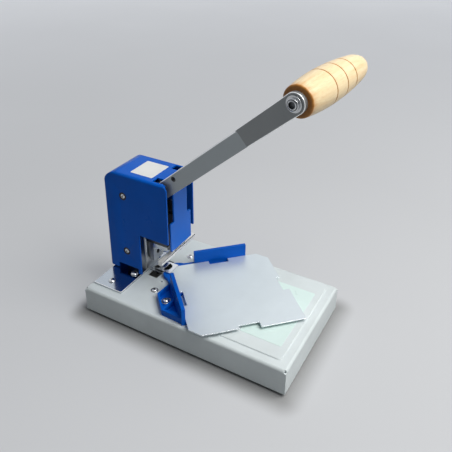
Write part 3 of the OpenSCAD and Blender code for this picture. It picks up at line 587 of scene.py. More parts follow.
class Mesh:
    """Makes finished pieces out of bmesh data and CAD solids."""

    @staticmethod
    def piece(name: str, data: Shape, finish: Finish, smooth: float = SHARP_ANGLE) -> Piece:
        """Makes an object at the origin from bmesh data.

        Args:
            name: The piece's name.
            data: The geometry, in the row frame, in metres. It is freed.
            finish: The piece's finish.
            smooth: Edges sharper than this angle, in degrees, stay sharp.

        Returns:
            The new object.
        """
        mesh = bpy.data.meshes.new(name)
        data.to_mesh(mesh)
        data.free()
        return Mesh.wrap(name, mesh, finish, smooth)

    @staticmethod
    def wrap(name: str, mesh: bpy.types.Mesh, finish: Finish, smooth: float) -> Piece:
        """Makes an object from a mesh and paints it where it has no material yet.

        Args:
            name: The piece's name.
            mesh: The geometry.
            finish: The piece's finish.
            smooth: Edges sharper than this angle, in degrees, stay sharp.

        Returns:
            The new object.
        """
        mesh.polygons.foreach_set("use_smooth", [True] * len(mesh.polygons))
        mesh.set_sharp_from_angle(angle=math.radians(smooth))
        if not mesh.materials:
            mesh.materials.append(finish.get())
        obj = bpy.data.objects.new(name, mesh)
        bpy.context.scene.collection.objects.link(obj)
        return obj

    @staticmethod
    def evaluated(obj: Piece) -> bpy.types.Mesh:
        """Returns a new mesh: an object's mesh with its modifiers applied."""
        graph = bpy.context.evaluated_depsgraph_get()
        return bpy.data.meshes.new_from_object(obj.evaluated_get(graph))

    @staticmethod
    def edge(obj: Piece, width: float, segments: int = 2) -> None:
        """Rounds an object's sharp edges.

        Args:
            obj: The object.
            width: Width of the round in metres.
            segments: Faces across the round.
        """
        bevel = obj.modifiers.new("edge_round", "BEVEL")
        bevel.width = width
        bevel.segments = segments
        bevel.limit_method = "ANGLE"
        bevel.angle_limit = math.radians(SHARP_ANGLE)
        bevel.harden_normals = True
        bevel.use_clamp_overlap = False

    @staticmethod
    def paint(obj: Piece, finish: Finish, chosen: Callable[[Vector], bool]) -> None:
        """Gives some of an object's faces another finish.

        Args:
            obj: The object.
            finish: The other finish.
            chosen: Says from a face's centre whether it takes the finish.
        """
        material = finish.get()
        if material.name not in obj.data.materials:
            obj.data.materials.append(material)
        slot = obj.data.materials.find(material.name)
        for face in obj.data.polygons:
            if chosen(face.center):
                face.material_index = slot

    @staticmethod
    def wear_and_highlight_edges(obj: Piece, finish: Finish) -> None:
        """Rounds an object's edges for good and gives them a second, brighter finish: partly edge
        wear, partly a painted highlight line.

        Args:
            obj: The object, with its edge round still a modifier.
            finish: The finish of the edges.
        """
        plain = obj.data
        plain.materials.append(finish.get())
        obj.modifiers["edge_round"].material = len(plain.materials) - 1
        obj.data = Mesh.evaluated(obj)
        obj.modifiers.clear()
        bpy.data.meshes.remove(plain)

    @staticmethod
    def refined(node: str, finish: Finish, width: float, segments: int = 2,
                reshape: Optional[Callable[[Shape], None]] = None, flats: bool = True) -> Piece:
        """Copies a CAD solid with its edges rounded, to stand for it.

        Args:
            node: Name of the CAD node.
            finish: The piece's finish.
            width: Width of the edge's round in metres.
            segments: Faces across the round.
            reshape: Changes the copied geometry before it is finished.
            flats: True joins each flat to one face; False, for flats with pockets, joins only
                pairs of triangles.

        Returns:
            The new piece.
        """
        data = bmesh.new()
        data.from_mesh(frame["nodes"][node].data)
        level = math.radians(FLAT_ANGLE)
        bmesh.ops.remove_doubles(data, verts=data.verts, dist=WELD if flats else SLIVER)
        if flats:
            bmesh.ops.dissolve_limit(
                data, angle_limit=level, verts=data.verts, edges=data.edges,
                use_dissolve_boundaries=False,
            )
        else:
            bmesh.ops.dissolve_degenerate(data, edges=data.edges, dist=SLIVER)
            bmesh.ops.join_triangles(
                data, faces=data.faces, angle_face_threshold=level, angle_shape_threshold=math.pi
            )
        if reshape:
            reshape(data)
        obj = Mesh.piece(f"{node}_dressed", data, finish)
        Mesh.edge(obj, width, segments)
        return obj

    @staticmethod
    def solids(node: str) -> list[tuple[Vector, Vector]]:
        """Finds the boxes of a CAD node's separate solids.

        Args:
            node: Name of the CAD node.

        Returns:
            The lowest and highest corner of each solid, in order of X and then Y.
        """
        data = bmesh.new()
        data.from_mesh(frame["nodes"][node].data)
        bmesh.ops.remove_doubles(data, verts=data.verts, dist=WELD)
        left = set(data.verts)
        boxes = []
        while left:
            stack = [left.pop()]
            low = stack[0].co.copy()
            high = low.copy()
            while stack:
                vert = stack.pop()
                low = Vector(map(min, low, vert.co))
                high = Vector(map(max, high, vert.co))
                for link in vert.link_edges:
                    other = link.other_vert(vert)
                    if other in left:
                        left.remove(other)
                        stack.append(other)
            boxes.append((low, high))
        data.free()
        return sorted(boxes, key=lambda box: tuple(round(c, 5) for c in box[0]))

    @staticmethod
    def lathe(profile: list[Pair], sides: int) -> Shape:
        """Turns a profile about Z.

        Args:
            profile: Radius and height of each point, from one end to the other; ends on the axis
                are closed.
            sides: Faces round the axis.

        Returns:
            The turned form.
        """
        data = bmesh.new()
        angles = [2 * math.pi * i / sides for i in range(sides)]
        rings = []
        for radius, height in profile:
            turns = [0.0] if radius < TINY else angles
            rings.append([
                data.verts.new((radius * math.cos(a), radius * math.sin(a), height)) for a in turns
            ])
        for lower, upper in zip(rings, rings[1:]):
            for i in range(sides):
                j = (i + 1) % sides
                corners = [lower[i % len(lower)], lower[j % len(lower)],
                           upper[j % len(upper)], upper[i % len(upper)]]
                unique = list(dict.fromkeys(corners))
                if len(unique) > 2:
                    data.faces.new(unique)
        bmesh.ops.recalc_face_normals(data, faces=data.faces)
        return data

    @staticmethod
    def bridge(data: Shape, lower: list[bmesh.types.BMVert],
               upper: list[bmesh.types.BMVert]) -> None:
        """Joins two closed rings of points by a band of faces.

        Args:
            data: The geometry of the rings.
            lower: The first ring.
            upper: The second ring, with as many points.
        """
        for i in range(len(lower)):
            j = (i + 1) % len(lower)
            data.faces.new((lower[i], lower[j], upper[j], upper[i]))


class Thread(Enum):
    """Metric threads of the press, with the sizes of their screws and nuts in metres."""

    M4 = (4 * MM, 0.7 * MM, 8 * MM, 2.6 * MM, 7 * MM, 2.6 * MM)
    M5 = (5 * MM, 0.8 * MM, 10 * MM, 3.2 * MM, 8 * MM, 3.2 * MM)

    def __init__(self, shank_d: float, pitch: float, head_d: float, head_h: float, nut_w: float,
                 nut_h: float) -> None:
        """Names the sizes.

        Args:
            shank_d: Diameter of the shank.
            pitch: Pitch of the thread.
            head_d: Diameter of the domed head.
            head_h: Height of the head.
            nut_w: Width of the nut across its flats.
            nut_h: Height of the nut.
        """
        self.shank_d = shank_d
        self.pitch = pitch
        self.head_d = head_d
        self.head_h = head_h
        self.nut_w = nut_w
        self.nut_h = nut_h


class Form(Protocol):
    """A shape that is repeated on the press."""

    def build(self, name: str) -> Piece:
        """Builds the shape as a template object."""


@dataclass(frozen=True)
class ScrewForm:
    """A domed cross-head screw with a threaded shank, seated at z = 0.

    Attributes:
        thread: The screw's thread.
        length: Length below the head in metres.
        thread_d: Depth of the thread.
        plain_turns: Pitches of plain shank under the head.
        seat_in: Width of the chamfer round the head's seat.
        rim_h: Height of the chamfer.
        dome_steps: Rings of the dome.
        sides: Faces round the screw.
        recess_ends: Level of the recess's bottom and top as a share of the head's height, and the
            scale of the cross there.
        arm: Reach of the cross as a share of the head's diameter.
        arm_half: Half the width of its arms as a share of the head's diameter.
    """

    thread: Thread
    length: float
    thread_d: float = 0.3 * MM
    plain_turns: float = 1.5
    seat_in: float = 0.15 * MM
    rim_h: float = 0.2 * MM
    dome_steps: int = 8
    sides: int = 28
    recess_ends: tuple[Pair, Pair] = ((0.35, 0.5), (1.3, 1.12))
    arm: float = 0.27
    arm_half: float = 0.055

    def build(self, name: str) -> Piece:
        """Builds the screw with its cross recess.

        Args:
            name: Name of the template.

        Returns:
            The template.
        """
        head_h, pitch = self.thread.head_h, self.thread.pitch
        core = self.thread.shank_d / 2
        root = core - self.thread_d
        profile = [(0.0, -self.length), (root, -self.length)]
        z = -self.length + pitch / 2
        while z < -pitch * self.plain_turns:
            profile += [(core, z), (root, z + pitch / 2)]
            z += pitch
        rim = self.thread.head_d / 2
        profile += [(core, 0.0), (rim - self.seat_in, 0.0), (rim, self.rim_h)]
        for i in range(1, self.dome_steps):
            a = math.pi / 2 * i / self.dome_steps
            profile.append((rim * math.cos(a), self.rim_h + (head_h - self.rim_h) * math.sin(a)))
        profile.append((0.0, head_h))
        screw = Mesh.piece(name, Mesh.lathe(profile, self.sides), Finish.ZINC, smooth=40)
        recess = self._recess(f"{name}_recess")
        cut = screw.modifiers.new("recess", "BOOLEAN")
        cut.operation = "DIFFERENCE"
        cut.solver = "EXACT"
        cut.material_mode = "TRANSFER"
        cut.object = recess
        mesh = Mesh.evaluated(screw)
        bpy.data.objects.remove(screw)
        bpy.data.objects.remove(recess)
        return Mesh.wrap(name, mesh, Finish.ZINC, smooth=40)

    def _recess(self, name: str) -> Piece:
        """Makes the tapered cross that cuts the driver's recess.

        Args:
            name: Name of the cross.

        Returns:
            The cross.
        """
        data = bmesh.new()
        rings = []
        for level, scale in self.recess_ends:
            arm = self.thread.head_d * self.arm * scale
            half = self.thread.head_d * self.arm_half * (0.5 + 0.5 * scale)
            ring = []
            for k in range(4):
                spin = Matrix.Rotation(math.pi / 2 * k, 3, "Z")
                for x, y in ((arm, -half), (arm, half), (half, half)):
                    ring.append(data.verts.new(spin @ Vector((x, y, self.thread.head_h * level))))
            rings.append(ring)
        Mesh.bridge(data, *rings)
        for ring in rings:
            data.faces.new(ring[2::3])
            for k in range(0, len(ring), 3):
                data.faces.new((ring[k - 1], ring[k], ring[k + 1], ring[k + 2]))
        bmesh.ops.recalc_face_normals(data, faces=data.faces)
        return Mesh.piece(name, data, Finish.BLACK_STEEL)


@dataclass(frozen=True)
class RingForm:
    """A flat ring with a chamfered rim, which lies on z = 0.

    Attributes:
        bore_d: Diameter of the bore in metres.
        outer_d: Outer diameter.
        height: Thickness of the ring.
        slant: Size of the chamfer as a share of the thickness.
        sides: Faces round the ring.
    """

    bore_d: float
    outer_d: float
    height: float
    slant: float = 0.4
    sides: int = 36

    def build(self, name: str) -> Piece:
        """Builds the ring.

        Args:
            name: Name of the template.

        Returns:
            The template.
        """
        inner, outer, top = self.bore_d / 2, self.outer_d / 2, self.height
        slant = top * self.slant
        profile = [(inner, 0.0), (outer, 0.0), (outer, top - slant), (outer - slant, top),
                   (inner, top), (inner, 0.0)]
        data = Mesh.lathe(profile, self.sides)
        bmesh.ops.remove_doubles(data, verts=data.verts, dist=TINY)
        bmesh.ops.recalc_face_normals(data, faces=data.faces)
        return Mesh.piece(name, data, Finish.ZINC, smooth=30)


@dataclass(frozen=True)
class NutForm:
    """A chamfered hexagon nut hanging below z = 0.

    Attributes:
        thread: The nut's thread.
        sides: Points round the nut.
        rings: Depth of each ring of points as a share of the height, and its greatest reach as a
            share of the corners' radius.
    """

    thread: Thread
    sides: int = 36
    rings: tuple[Pair, ...] = ((0.0, 0.94), (-0.12, 1.0), (-0.88, 1.0), (-1.0, 0.94))

    def build(self, name: str) -> Piece:
        """Builds the nut.

        Args:
            name: Name of the template.

        Returns:
            The template.
        """
        data = bmesh.new()
        flat, bore = self.thread.nut_w / 2, self.thread.shank_d / 2
        corner = flat / math.cos(math.pi / 6)
        outer, inner = [], []
        for depth, share in self.rings:
            z = depth * self.thread.nut_h
            row, hole = [], []
            for i in range(self.sides):
                a = 2 * math.pi * i / self.sides
                side = flat / math.cos((a + math.pi / 6) % (math.pi / 3) - math.pi / 6)
                r = min(side, corner * share)
                row.append(data.verts.new((r * math.cos(a), r * math.sin(a), z)))
                hole.append(data.verts.new((bore * math.cos(a), bore * math.sin(a), z)))
            outer.append(row)
            inner.append(hole)
        for i in range(self.sides):
            j = (i + 1) % self.sides
            for k in range(len(self.rings) - 1):
                data.faces.new((outer[k][i], outer[k + 1][i], outer[k + 1][j], outer[k][j]))
                data.faces.new((inner[k][j], inner[k + 1][j], inner[k + 1][i], inner[k][i]))
            data.faces.new((inner[0][i], outer[0][i], outer[0][j], inner[0][j]))
            data.faces.new((outer[-1][i], inner[-1][i], inner[-1][j], outer[-1][j]))
        bmesh.ops.recalc_face_normals(data, faces=data.faces)
        return Mesh.piece(name, data, Finish.ZINC, smooth=30)


@dataclass
class Scatter:
    """Sets copies of a shape on points with Geometry Nodes.

    Attributes:
        form: The shape.
        finish: Finish of the copies.
    """

    form: Form
    finish: Finish

    def build(self, name: str, places: list[Place]) -> Piece:
        """Makes one mesh of a copy at each place.

        Args:
            name: The piece's name.
            places: Position and rotation of each copy.

        Returns:
            The piece.
        """
        template = self.form.build(f"{name}_form")
        points = bpy.data.meshes.new(f"{name}_points")
        points.from_pydata([tuple(position) for position, _ in places], [], [])
        turns = points.attributes.new("turn", "FLOAT_VECTOR", "POINT")
        for item, (_, turn) in zip(turns.data, places):
            item.vector = turn.to_euler()
        carrier = bpy.data.objects.new(f"{name}_carrier", points)
        bpy.context.scene.collection.objects.link(carrier)
        tree, sockets = self._tree(name)
        modifier = carrier.modifiers.new("copies", "NODES")
        modifier.node_group = tree
        modifier[sockets["Template"]] = template
        modifier[sockets["Finish"]] = self.finish.get()
        mesh = Mesh.evaluated(carrier)
        carrier.modifiers.remove(modifier)
        bpy.data.objects.remove(carrier)
        bpy.data.objects.remove(template)
        return Mesh.wrap(name, mesh, self.finish, smooth=40)

    @staticmethod
    def _tree(name: str) -> tuple[bpy.types.NodeTree, dict[str, str]]:
        """Builds the node group, which paints the faces in the template's first material slot.

        Args:
            name: The piece's name.

        Returns:
            The group and the identifiers of its inputs.
        """
        tree = bpy.data.node_groups.new(f"{name}_copies", "GeometryNodeTree")
        tree.interface.new_socket("Geometry", in_out="INPUT", socket_type="NodeSocketGeometry")
        wanted = (("Template", "NodeSocketObject"), ("Finish", "NodeSocketMaterial"))
        sockets = {
            title: tree.interface.new_socket(title, in_out="INPUT", socket_type=kind).identifier
            for title, kind in wanted
        }
        tree.interface.new_socket("Geometry", in_out="OUTPUT", socket_type="NodeSocketGeometry")
        nodes = {
            key: tree.nodes.new(kind)
            for key, kind in (
                ("start", "NodeGroupInput"),
                ("info", "GeometryNodeObjectInfo"),
                ("turn", "GeometryNodeInputNamedAttribute"),
                ("euler", "FunctionNodeEulerToRotation"),
                ("slot", "GeometryNodeInputMaterialIndex"),
                ("first", "FunctionNodeCompare"),
                ("copies", "GeometryNodeInstanceOnPoints"),
                ("real", "GeometryNodeRealizeInstances"),
                ("paint", "GeometryNodeSetMaterial"),
                ("end", "NodeGroupOutput"),
            )
        }
        nodes["turn"].data_type = "FLOAT_VECTOR"
        nodes["turn"].inputs["Name"].default_value = "turn"
        nodes["first"].data_type = "INT"
        nodes["first"].operation = "EQUAL"
        for start, out, end, into in (
            ("slot", "Material Index", "first", "A"),
            ("first", "Result", "paint", "Selection"),
            ("start", "Template", "info", "Object"),
            ("start", "Geometry", "copies", "Points"),
            ("info", "Geometry", "copies", "Instance"),
            ("turn", "Attribute", "euler", "Euler"),
            ("euler", "Rotation", "copies", "Rotation"),
            ("copies", "Instances", "real", "Geometry"),
            ("real", "Geometry", "paint", "Geometry"),
            ("start", "Finish", "paint", "Material"),
            ("paint", "Geometry", "end", "Geometry"),
        ):
            tree.links.new(nodes[start].outputs[out], nodes[end].inputs[into])
        return tree, sockets


@dataclass
class Assembly:
    """A group of pieces that ride on one body.

    Attributes:
        body: The body that carries the pieces.
        made: Names of the pieces made so far.
    """

    body: Body
    made: list[str] = field(default_factory=list)

    def build(self) -> None:
        """Builds the pieces; each sub-assembly has its own way."""
        raise NotImplementedError

    def keep(self, obj: Piece, slot: str, *nodes: str) -> Piece:
        """Puts a piece on the body and hides the CAD nodes that it stands for.

        Args:
            obj: The piece.
            slot: The record's material slot; not used.
            nodes: CAD nodes that the piece replaces.

        Returns:
            The piece.
        """
        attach(obj, self.body.value)
        if nodes:
            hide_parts(*nodes)
        self.made.append(obj.name)
        log.info("%s: %s", self.body.value, obj.name)
        return obj

    def dress(self, node: str, finish: Finish, slot: str, width: float,
              segments: int = 2) -> Piece:
        """Replaces a CAD node by a copy with rounded edges and a finish.

        Args:
            node: Name of the CAD node.
            finish: The finish.
            slot: The record's material slot.
            width: Width of the edge's round in metres.
            segments: Faces across the round.

        Returns:
            The piece.
        """
        return self.keep(Mesh.refined(node, finish, width, segments), slot, node)

    def dress_all(self, finish: Finish, slot: str, widths: dict[str, float]) -> None:
        """Dresses several nodes with one finish.

        Args:
            finish: The finish.
            slot: The record's material slot.
            widths: Edge round of each node in metres.
        """
        for node, width in widths.items():
            self.dress(node, finish, slot, width)


@dataclass
class ScrewSet:
    """Domed screws that stand for one CAD node.

    Attributes:
        node: The CAD node of the screws.
        form: Shape of one screw.
        axis: Direction of the heads; None takes it from the side that each screw is on.
        lift: How far the heads stand out beyond the CAD node's, in metres.
        spin: Turn of the first screw and the step to the next, in radians.
    """

    node: str
    form: ScrewForm
    axis: Optional[Axis] = Axis.UP
    lift: float = 0.0
    spin: Pair = (0.35, 1.1)

    def places(self, lift: float) -> list[Place]:
        """Finds where the screws or their rings sit.

        Args:
            lift: Distance outwards from the seat of the CAD node's heads.

        Returns:
            The seat and the rotation of each.
        """
        found = []
        for i, (low, high) in enumerate(Mesh.solids(self.node)):
            middle = (low + high) / 2
            axis = self.axis or (Axis.NEAR if middle.y < 0 else Axis.FAR)
            outward = Vector(axis.value)
            tip = middle + outward * (high - low).dot(Vector(map(abs, outward))) / 2
            seat = tip - outward * (self.form.thread.head_h - lift)
            found.append((seat, axis.turn(self.spin[0] + self.spin[1] * i)))
        return found

    def build(self, assembly: Assembly) -> None:
        """Makes the screws.

        Args:
            assembly: The assembly that carries the screws.
        """
        scatter = Scatter(self.form, Finish.ZINC)
        piece = scatter.build(f"{self.node}_dressed", self.places(self.lift))
        assembly.keep(piece, "zinc", self.node)

    def add_rings(self, assembly: Assembly, name: str, form: RingForm, finish: Finish, slot: str,
                  lift: float = 0.0) -> None:
        """Adds a ring round the head of each screw.

        Args:
            assembly: The assembly that carries the rings.
            name: Name of the rings.
            form: Shape of one ring.
            finish: Finish of the rings.
            slot: The record's material slot.
            lift: Distance outwards from the seat of the CAD node's heads.
        """
        assembly.keep(Scatter(form, finish).build(name, self.places(lift)), slot)


@dataclass(frozen=True)
class BlankPlate:
    """A thin bare plate with round corners, on a level surface.

    Attributes:
        centre: Its centre in X and Y, in metres.
        size: Its size along X and Y.
        thick: Its thickness.
        corner_r: Radius of its corners.
        corner_steps: Edges round each corner.
        edge: Round of its edges as a share of the thickness.
    """

    centre: Pair
    size: Pair
    thick: float
    corner_r: float = 2.0 * MM
    corner_steps: int = 6
    edge: float = 0.4

    def build(self, name: str, level: float, finish: Finish) -> Piece:
        """Makes the plate.

        Args:
            name: The piece's name.
            level: Height of the surface.
            finish: The plate's finish.

        Returns:
            The plate.
        """
        reach = [side / 2 - self.corner_r for side in self.size]
        ring = []
        for k, (sx, sy) in enumerate(((1, 1), (-1, 1), (-1, -1), (1, -1))):
            x, y = self.centre[0] + sx * reach[0], self.centre[1] + sy * reach[1]
            for i in range(self.corner_steps + 1):
                a = math.pi / 2 * (k + i / self.corner_steps)
                aside = Vector((self.corner_r * math.cos(a), self.corner_r * math.sin(a), 0))
                ring.append(Vector((x, y, level)) + aside)
        data = bmesh.new()
        bottom = data.faces.new([data.verts.new(point) for point in ring])
        raised = bmesh.ops.extrude_face_region(data, geom=[bottom])["geom"]
        moved = [item for item in raised if isinstance(item, bmesh.types.BMVert)]
        bmesh.ops.translate(data, verts=moved, vec=(0, 0, self.thick))
        bmesh.ops.recalc_face_normals(data, faces=data.faces)
        obj = Mesh.piece(name, data, finish)
        Mesh.edge(obj, self.thick * self.edge)
        return obj


@dataclass
class Base(Assembly):
    """The folded pan, its feet, foot plate, screws, nuts and the blank plate on its top.

    Attributes:
        plate: The blank plate.
        rim: Ring round the head of a base screw.
        nut_under: Level of the pan's underside in metres.
        nut_spin: Turn of the first nut and the step to the next, in radians.
        pan_top: Level of the pan's top beside the raised panel.
        panel_r: Corner radius of the raised panel.
        slope: How far the panel's border reaches out at its foot and in at its top.
        slope_steps: Faces across the border.
    """

    plate: BlankPlate = BlankPlate((0.1010, 0.0), (0.056, 0.112), 0.25 * MM)
    rim: RingForm = RingForm(7.6 * MM, 10.6 * MM, 0.8 * MM)
    nut_under: float = 0.038
    nut_spin: Pair = (0.4, 0.9)
    pan_top: float = 0.040
    panel_r: float = 0.006
    slope: Pair = (0.0004, 0.0011)
    slope_steps: int = 8

    def build(self) -> None:
        """Builds every piece of the base."""
        pan = Mesh.refined("base_pan", Finish.GREY_ENAMEL, 0.2 * MM, reshape=self._press_panel)
        pan.modifiers.new("even_normals", "WEIGHTED_NORMAL").keep_sharp = True
        self.keep(pan, "grey_enamel", "base_pan")
        self.dress_all(Finish.RUBBER, "rubber", {
            "rubber_feet": 0.5 * MM, "table_buffers": 0.5 * MM})
        foot_plate = self.dress("foot_plate", Finish.PLATE_ZINC, "zinc", 0.6 * MM)
        # Bright rounded edges on the foot plate: partly worn metal, partly a painted highlight
        # line.
        Mesh.wear_and_highlight_edges(foot_plate, Finish.WORN_HIGHLIGHT_EDGE)
        ScrewSet("foot_screws", ScrewForm(Thread.M5, 10 * MM)).build(self)
        base_screws = ScrewSet("base_screws", ScrewForm(Thread.M4, 7 * MM))
        base_screws.build(self)
        base_screws.add_rings(self, "base_rims", self.rim, Finish.ZINC, "zinc")
        self.dress("column_bolts", Finish.ZINC, "zinc", 0.3 * MM)
        self._add_nuts("foot_screws", Thread.M5)
        self._add_nuts("base_screws", Thread.M4)
        self._add_nuts("guide_screws", Thread.M5)
        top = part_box("base_pan")[1].z
        self.keep(self.plate.build("base_plate_blank", top, Finish.MINT_FILM), "grey_enamel")

    def _press_panel(self, data: Shape) -> None:
        """Turns the raised panel's square step into a soft pressed border.

        Args:
            data: The pan's geometry.
        """
        top = max(vert.co.z for vert in data.verts)
        ring = [vert.co for vert in data.verts if vert.co.z > top - SAME]
        low = Vector([min(point[i] for point in ring) for i in (0, 1)])
        high = Vector([max(point[i] for point in ring) for i in (0, 1)])
        middle, half = (low + high) / 2, (high - low) / 2

        def outward(point: Vector) -> Vector:
            """Finds the way to a point from the nearest point of the panel's inner rectangle.

            Args:
                point: The point.

            Returns:
                The way in X and Y.
            """
            aside = [point[i] - middle[i] for i in (0, 1)]
            reach = [max(abs(aside[i]) - half[i] + self.panel_r, 0.0) for i in (0, 1)]
            return Vector([math.copysign(reach[i], aside[i]) for i in (0, 1)])

        def climbs(edge: bmesh.types.BMEdge) -> bool:
            """Says whether an edge goes straight up the panel's step.

            Args:
                edge: The edge.

            Returns:
                True for such an edge.
            """
            first, second = (vert.co for vert in edge.verts)
            upright = (first - second).xy.length < SAME and abs(first.z - second.z) > 10 * SAME
            return upright and min(first.z, second.z) > self.pan_top - SAME

        bmesh.ops.subdivide_edges(
            data, edges=[edge for edge in data.edges if climbs(edge)], cuts=self.slope_steps - 1,
            use_grid_fill=True,
        )
        out, across, rise = self.slope[0], sum(self.slope), top - self.pan_top
        for vert in data.verts:
            away = outward(vert.co)
            if vert.co.z < self.pan_top - SAME or abs(away.length - self.panel_r) > 2 * SAME:
                continue
            share = (vert.co.z - self.pan_top) / rise
            shift = away.normalized() * (out - across * share)
            vert.co.x += shift.x
            vert.co.y += shift.y
            vert.co.z = self.pan_top + rise * (0.5 - 0.5 * math.cos(math.pi * share))

    def _add_nuts(self, node: str, thread: Thread) -> None:
        """Adds a nut under the pan at each screw of a CAD node.

        Args:
            node: The CAD node of the screws.
            thread: Thread of the nuts.
        """
        first, step = self.nut_spin
        places = []
        for i, (low, high) in enumerate(Mesh.solids(node)):
            middle = (low + high) / 2
            seat = Vector((middle.x, middle.y, self.nut_under))
            places.append((seat, Axis.UP.turn(first + step * i)))
        self.keep(Scatter(NutForm(thread), Finish.ZINC).build(f"{node}_nuts", places), "zinc")


@dataclass
class Press(Assembly):
    """The column, its rail and bracket, the pivot, the die and the cover.

    Attributes:
        label: The blank plate on the cover.
        ring: Dark ring laid on the cover round the head of each cover screw, a painted shadow of
            the screw's recess.
        screw_lift: How far the cover screws' heads stand out beyond the CAD node's, in metres.
        cover_out: Distance from the seat of those heads to the cover's outer face.
    """

    label: BlankPlate = BlankPlate((-0.0945, -0.0015), (0.035, 0.039), 0.2 * MM)
    ring: RingForm = RingForm(7.6 * MM, 11.2 * MM, 0.3 * MM)
    screw_lift: float = 0.0015
    cover_out: float = 0.0030

    def build(self) -> None:
        """Builds every fixed piece of the press."""
        self.dress("cover", Finish.BLUE_ENAMEL, "blue_enamel", 0.6 * MM, segments=3)
        self.dress_all(Finish.MACHINED, "machined", {
            "column": 0.5 * MM, "ram_rail": 0.3 * MM, "spring_bracket": 0.4 * MM,
            "pivot_shaft": 0.4 * MM})
        self.dress_all(Finish.BLACK_STEEL, "black_steel", {
            "rail_screws": 0.2 * MM, "die_screws": 0.15 * MM, "pivot_rings": 0.15 * MM})
        self.dress("thrust_washers", Finish.BRONZE, "bronze", 0.2 * MM)
        self.dress("cover_spacers", Finish.ZINC, "zinc", 0.2 * MM)
        self.dress("lower_die", Finish.BRIGHT_STEEL, "bright_steel", 0.15 * MM)
        cover_screws = ScrewSet(
            "cover_screws", ScrewForm(Thread.M4, 24.25 * MM), None, self.screw_lift)
        cover_screws.build(self)
        # Painted shadow: a thin dark ring laid on the cover round each screw head.
        cover_screws.add_rings(
            self, "cover_rings", self.ring, Finish.RUBBER, "black_steel", self.cover_out)
        ScrewSet("bracket_screws", ScrewForm(Thread.M4, 16 * MM)).build(self)
        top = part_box("cover")[1].z
        self.keep(self.label.build("cover_plate_blank", top, Finish.WHITE_FILM), "blue_enamel")


@dataclass
class Table(Assembly):
    """The table plate and the two corner guides with their screws."""

    def build(self) -> None:
        """Builds the table's pieces."""
        plate = self.dress("table_plate", Finish.TABLE_STEEL, "bright_steel", 0.25 * MM)
        # Bright steel on the table plate's rounded edges: partly sheared bare edge, partly a
        # painted highlight line.
        Mesh.wear_and_highlight_edges(plate, Finish.BRIGHT_STEEL)
        for node in ("guide_near", "guide_far"):
            guide = Mesh.refined(node, Finish.BLUE_ENAMEL, 0.5 * MM, flats=False)
            self.keep(guide, "blue_enamel", node)
        self.dress("guide_washers", Finish.ZINC, "zinc", 0.2 * MM)
        ScrewSet("guide_screws", ScrewForm(Thread.M5, 9.7 * MM)).build(self)


@dataclass
class Coil:
    """A round wire wound on a cylinder along Z.

    Attributes:
        centre: X and Y of the axis, in metres.
        low: Level of the lower end of the wire's centre.
        high: Level of the upper end.
        mean_d: Mean coil diameter.
        wire_d: Diameter of the wire.
        turns: Number of turns.
        ease: Turns over which each end draws in to the axis, or 0 for open ends.
        tail: Straight length on the axis beyond each end.
        per_turn: Points along one turn.
        sides: Faces round the wire.
    """

    centre: Pair
    low: float
    high: float
    mean_d: float
    wire_d: float
    turns: int
    ease: float = 0.0
    tail: float = 0.0
    per_turn: int = 32
    sides: int = 12

    def path(self) -> list[Vector]:
        """Finds the points along the wire's centre.

        Returns:
            The points, from the lower end up.
        """
        x, y = self.centre
        count = self.turns * self.per_turn
        points = []
        for i in range(count + 1):
            turn = i / self.per_turn
            r = self.mean_d / 2
            if self.ease:
                share = min(1.0, turn / self.ease, (self.turns - turn) / self.ease)
                r *= math.sin(math.pi / 2 * share)
            a = 2 * math.pi * turn
            z = self.low + (self.high - self.low) * i / count
            points.append(Vector((x + r * math.cos(a), y + r * math.sin(a), z)))
        if self.tail:
            points.insert(0, Vector((x, y, self.low - self.tail)))
            points.append(Vector((x, y, self.high + self.tail)))
        return points

    def add_to(self, data: Shape) -> None:
        """Adds the wire's tube to bmesh data.

        Args:
            data: The geometry to add to.
        """
        points = self.path()
        last = len(points) - 1
        angles = [2 * math.pi * k / self.sides for k in range(self.sides)]
        side = Vector((1, 0, 0))
        rings = []
        for i, point in enumerate(points):
            ahead = (points[min(i + 1, last)] - points[max(i - 1, 0)]).normalized()
            side = (side - ahead * side.dot(ahead)).normalized()
            across = ahead.cross(side)
            ways = [math.cos(a) * side + math.sin(a) * across for a in angles]
            rings.append([data.verts.new(point + self.wire_d / 2 * way) for way in ways])
        for lower, upper in zip(rings, rings[1:]):
            Mesh.bridge(data, lower, upper)
        data.faces.new(list(reversed(rings[0])))
        data.faces.new(rings[-1])


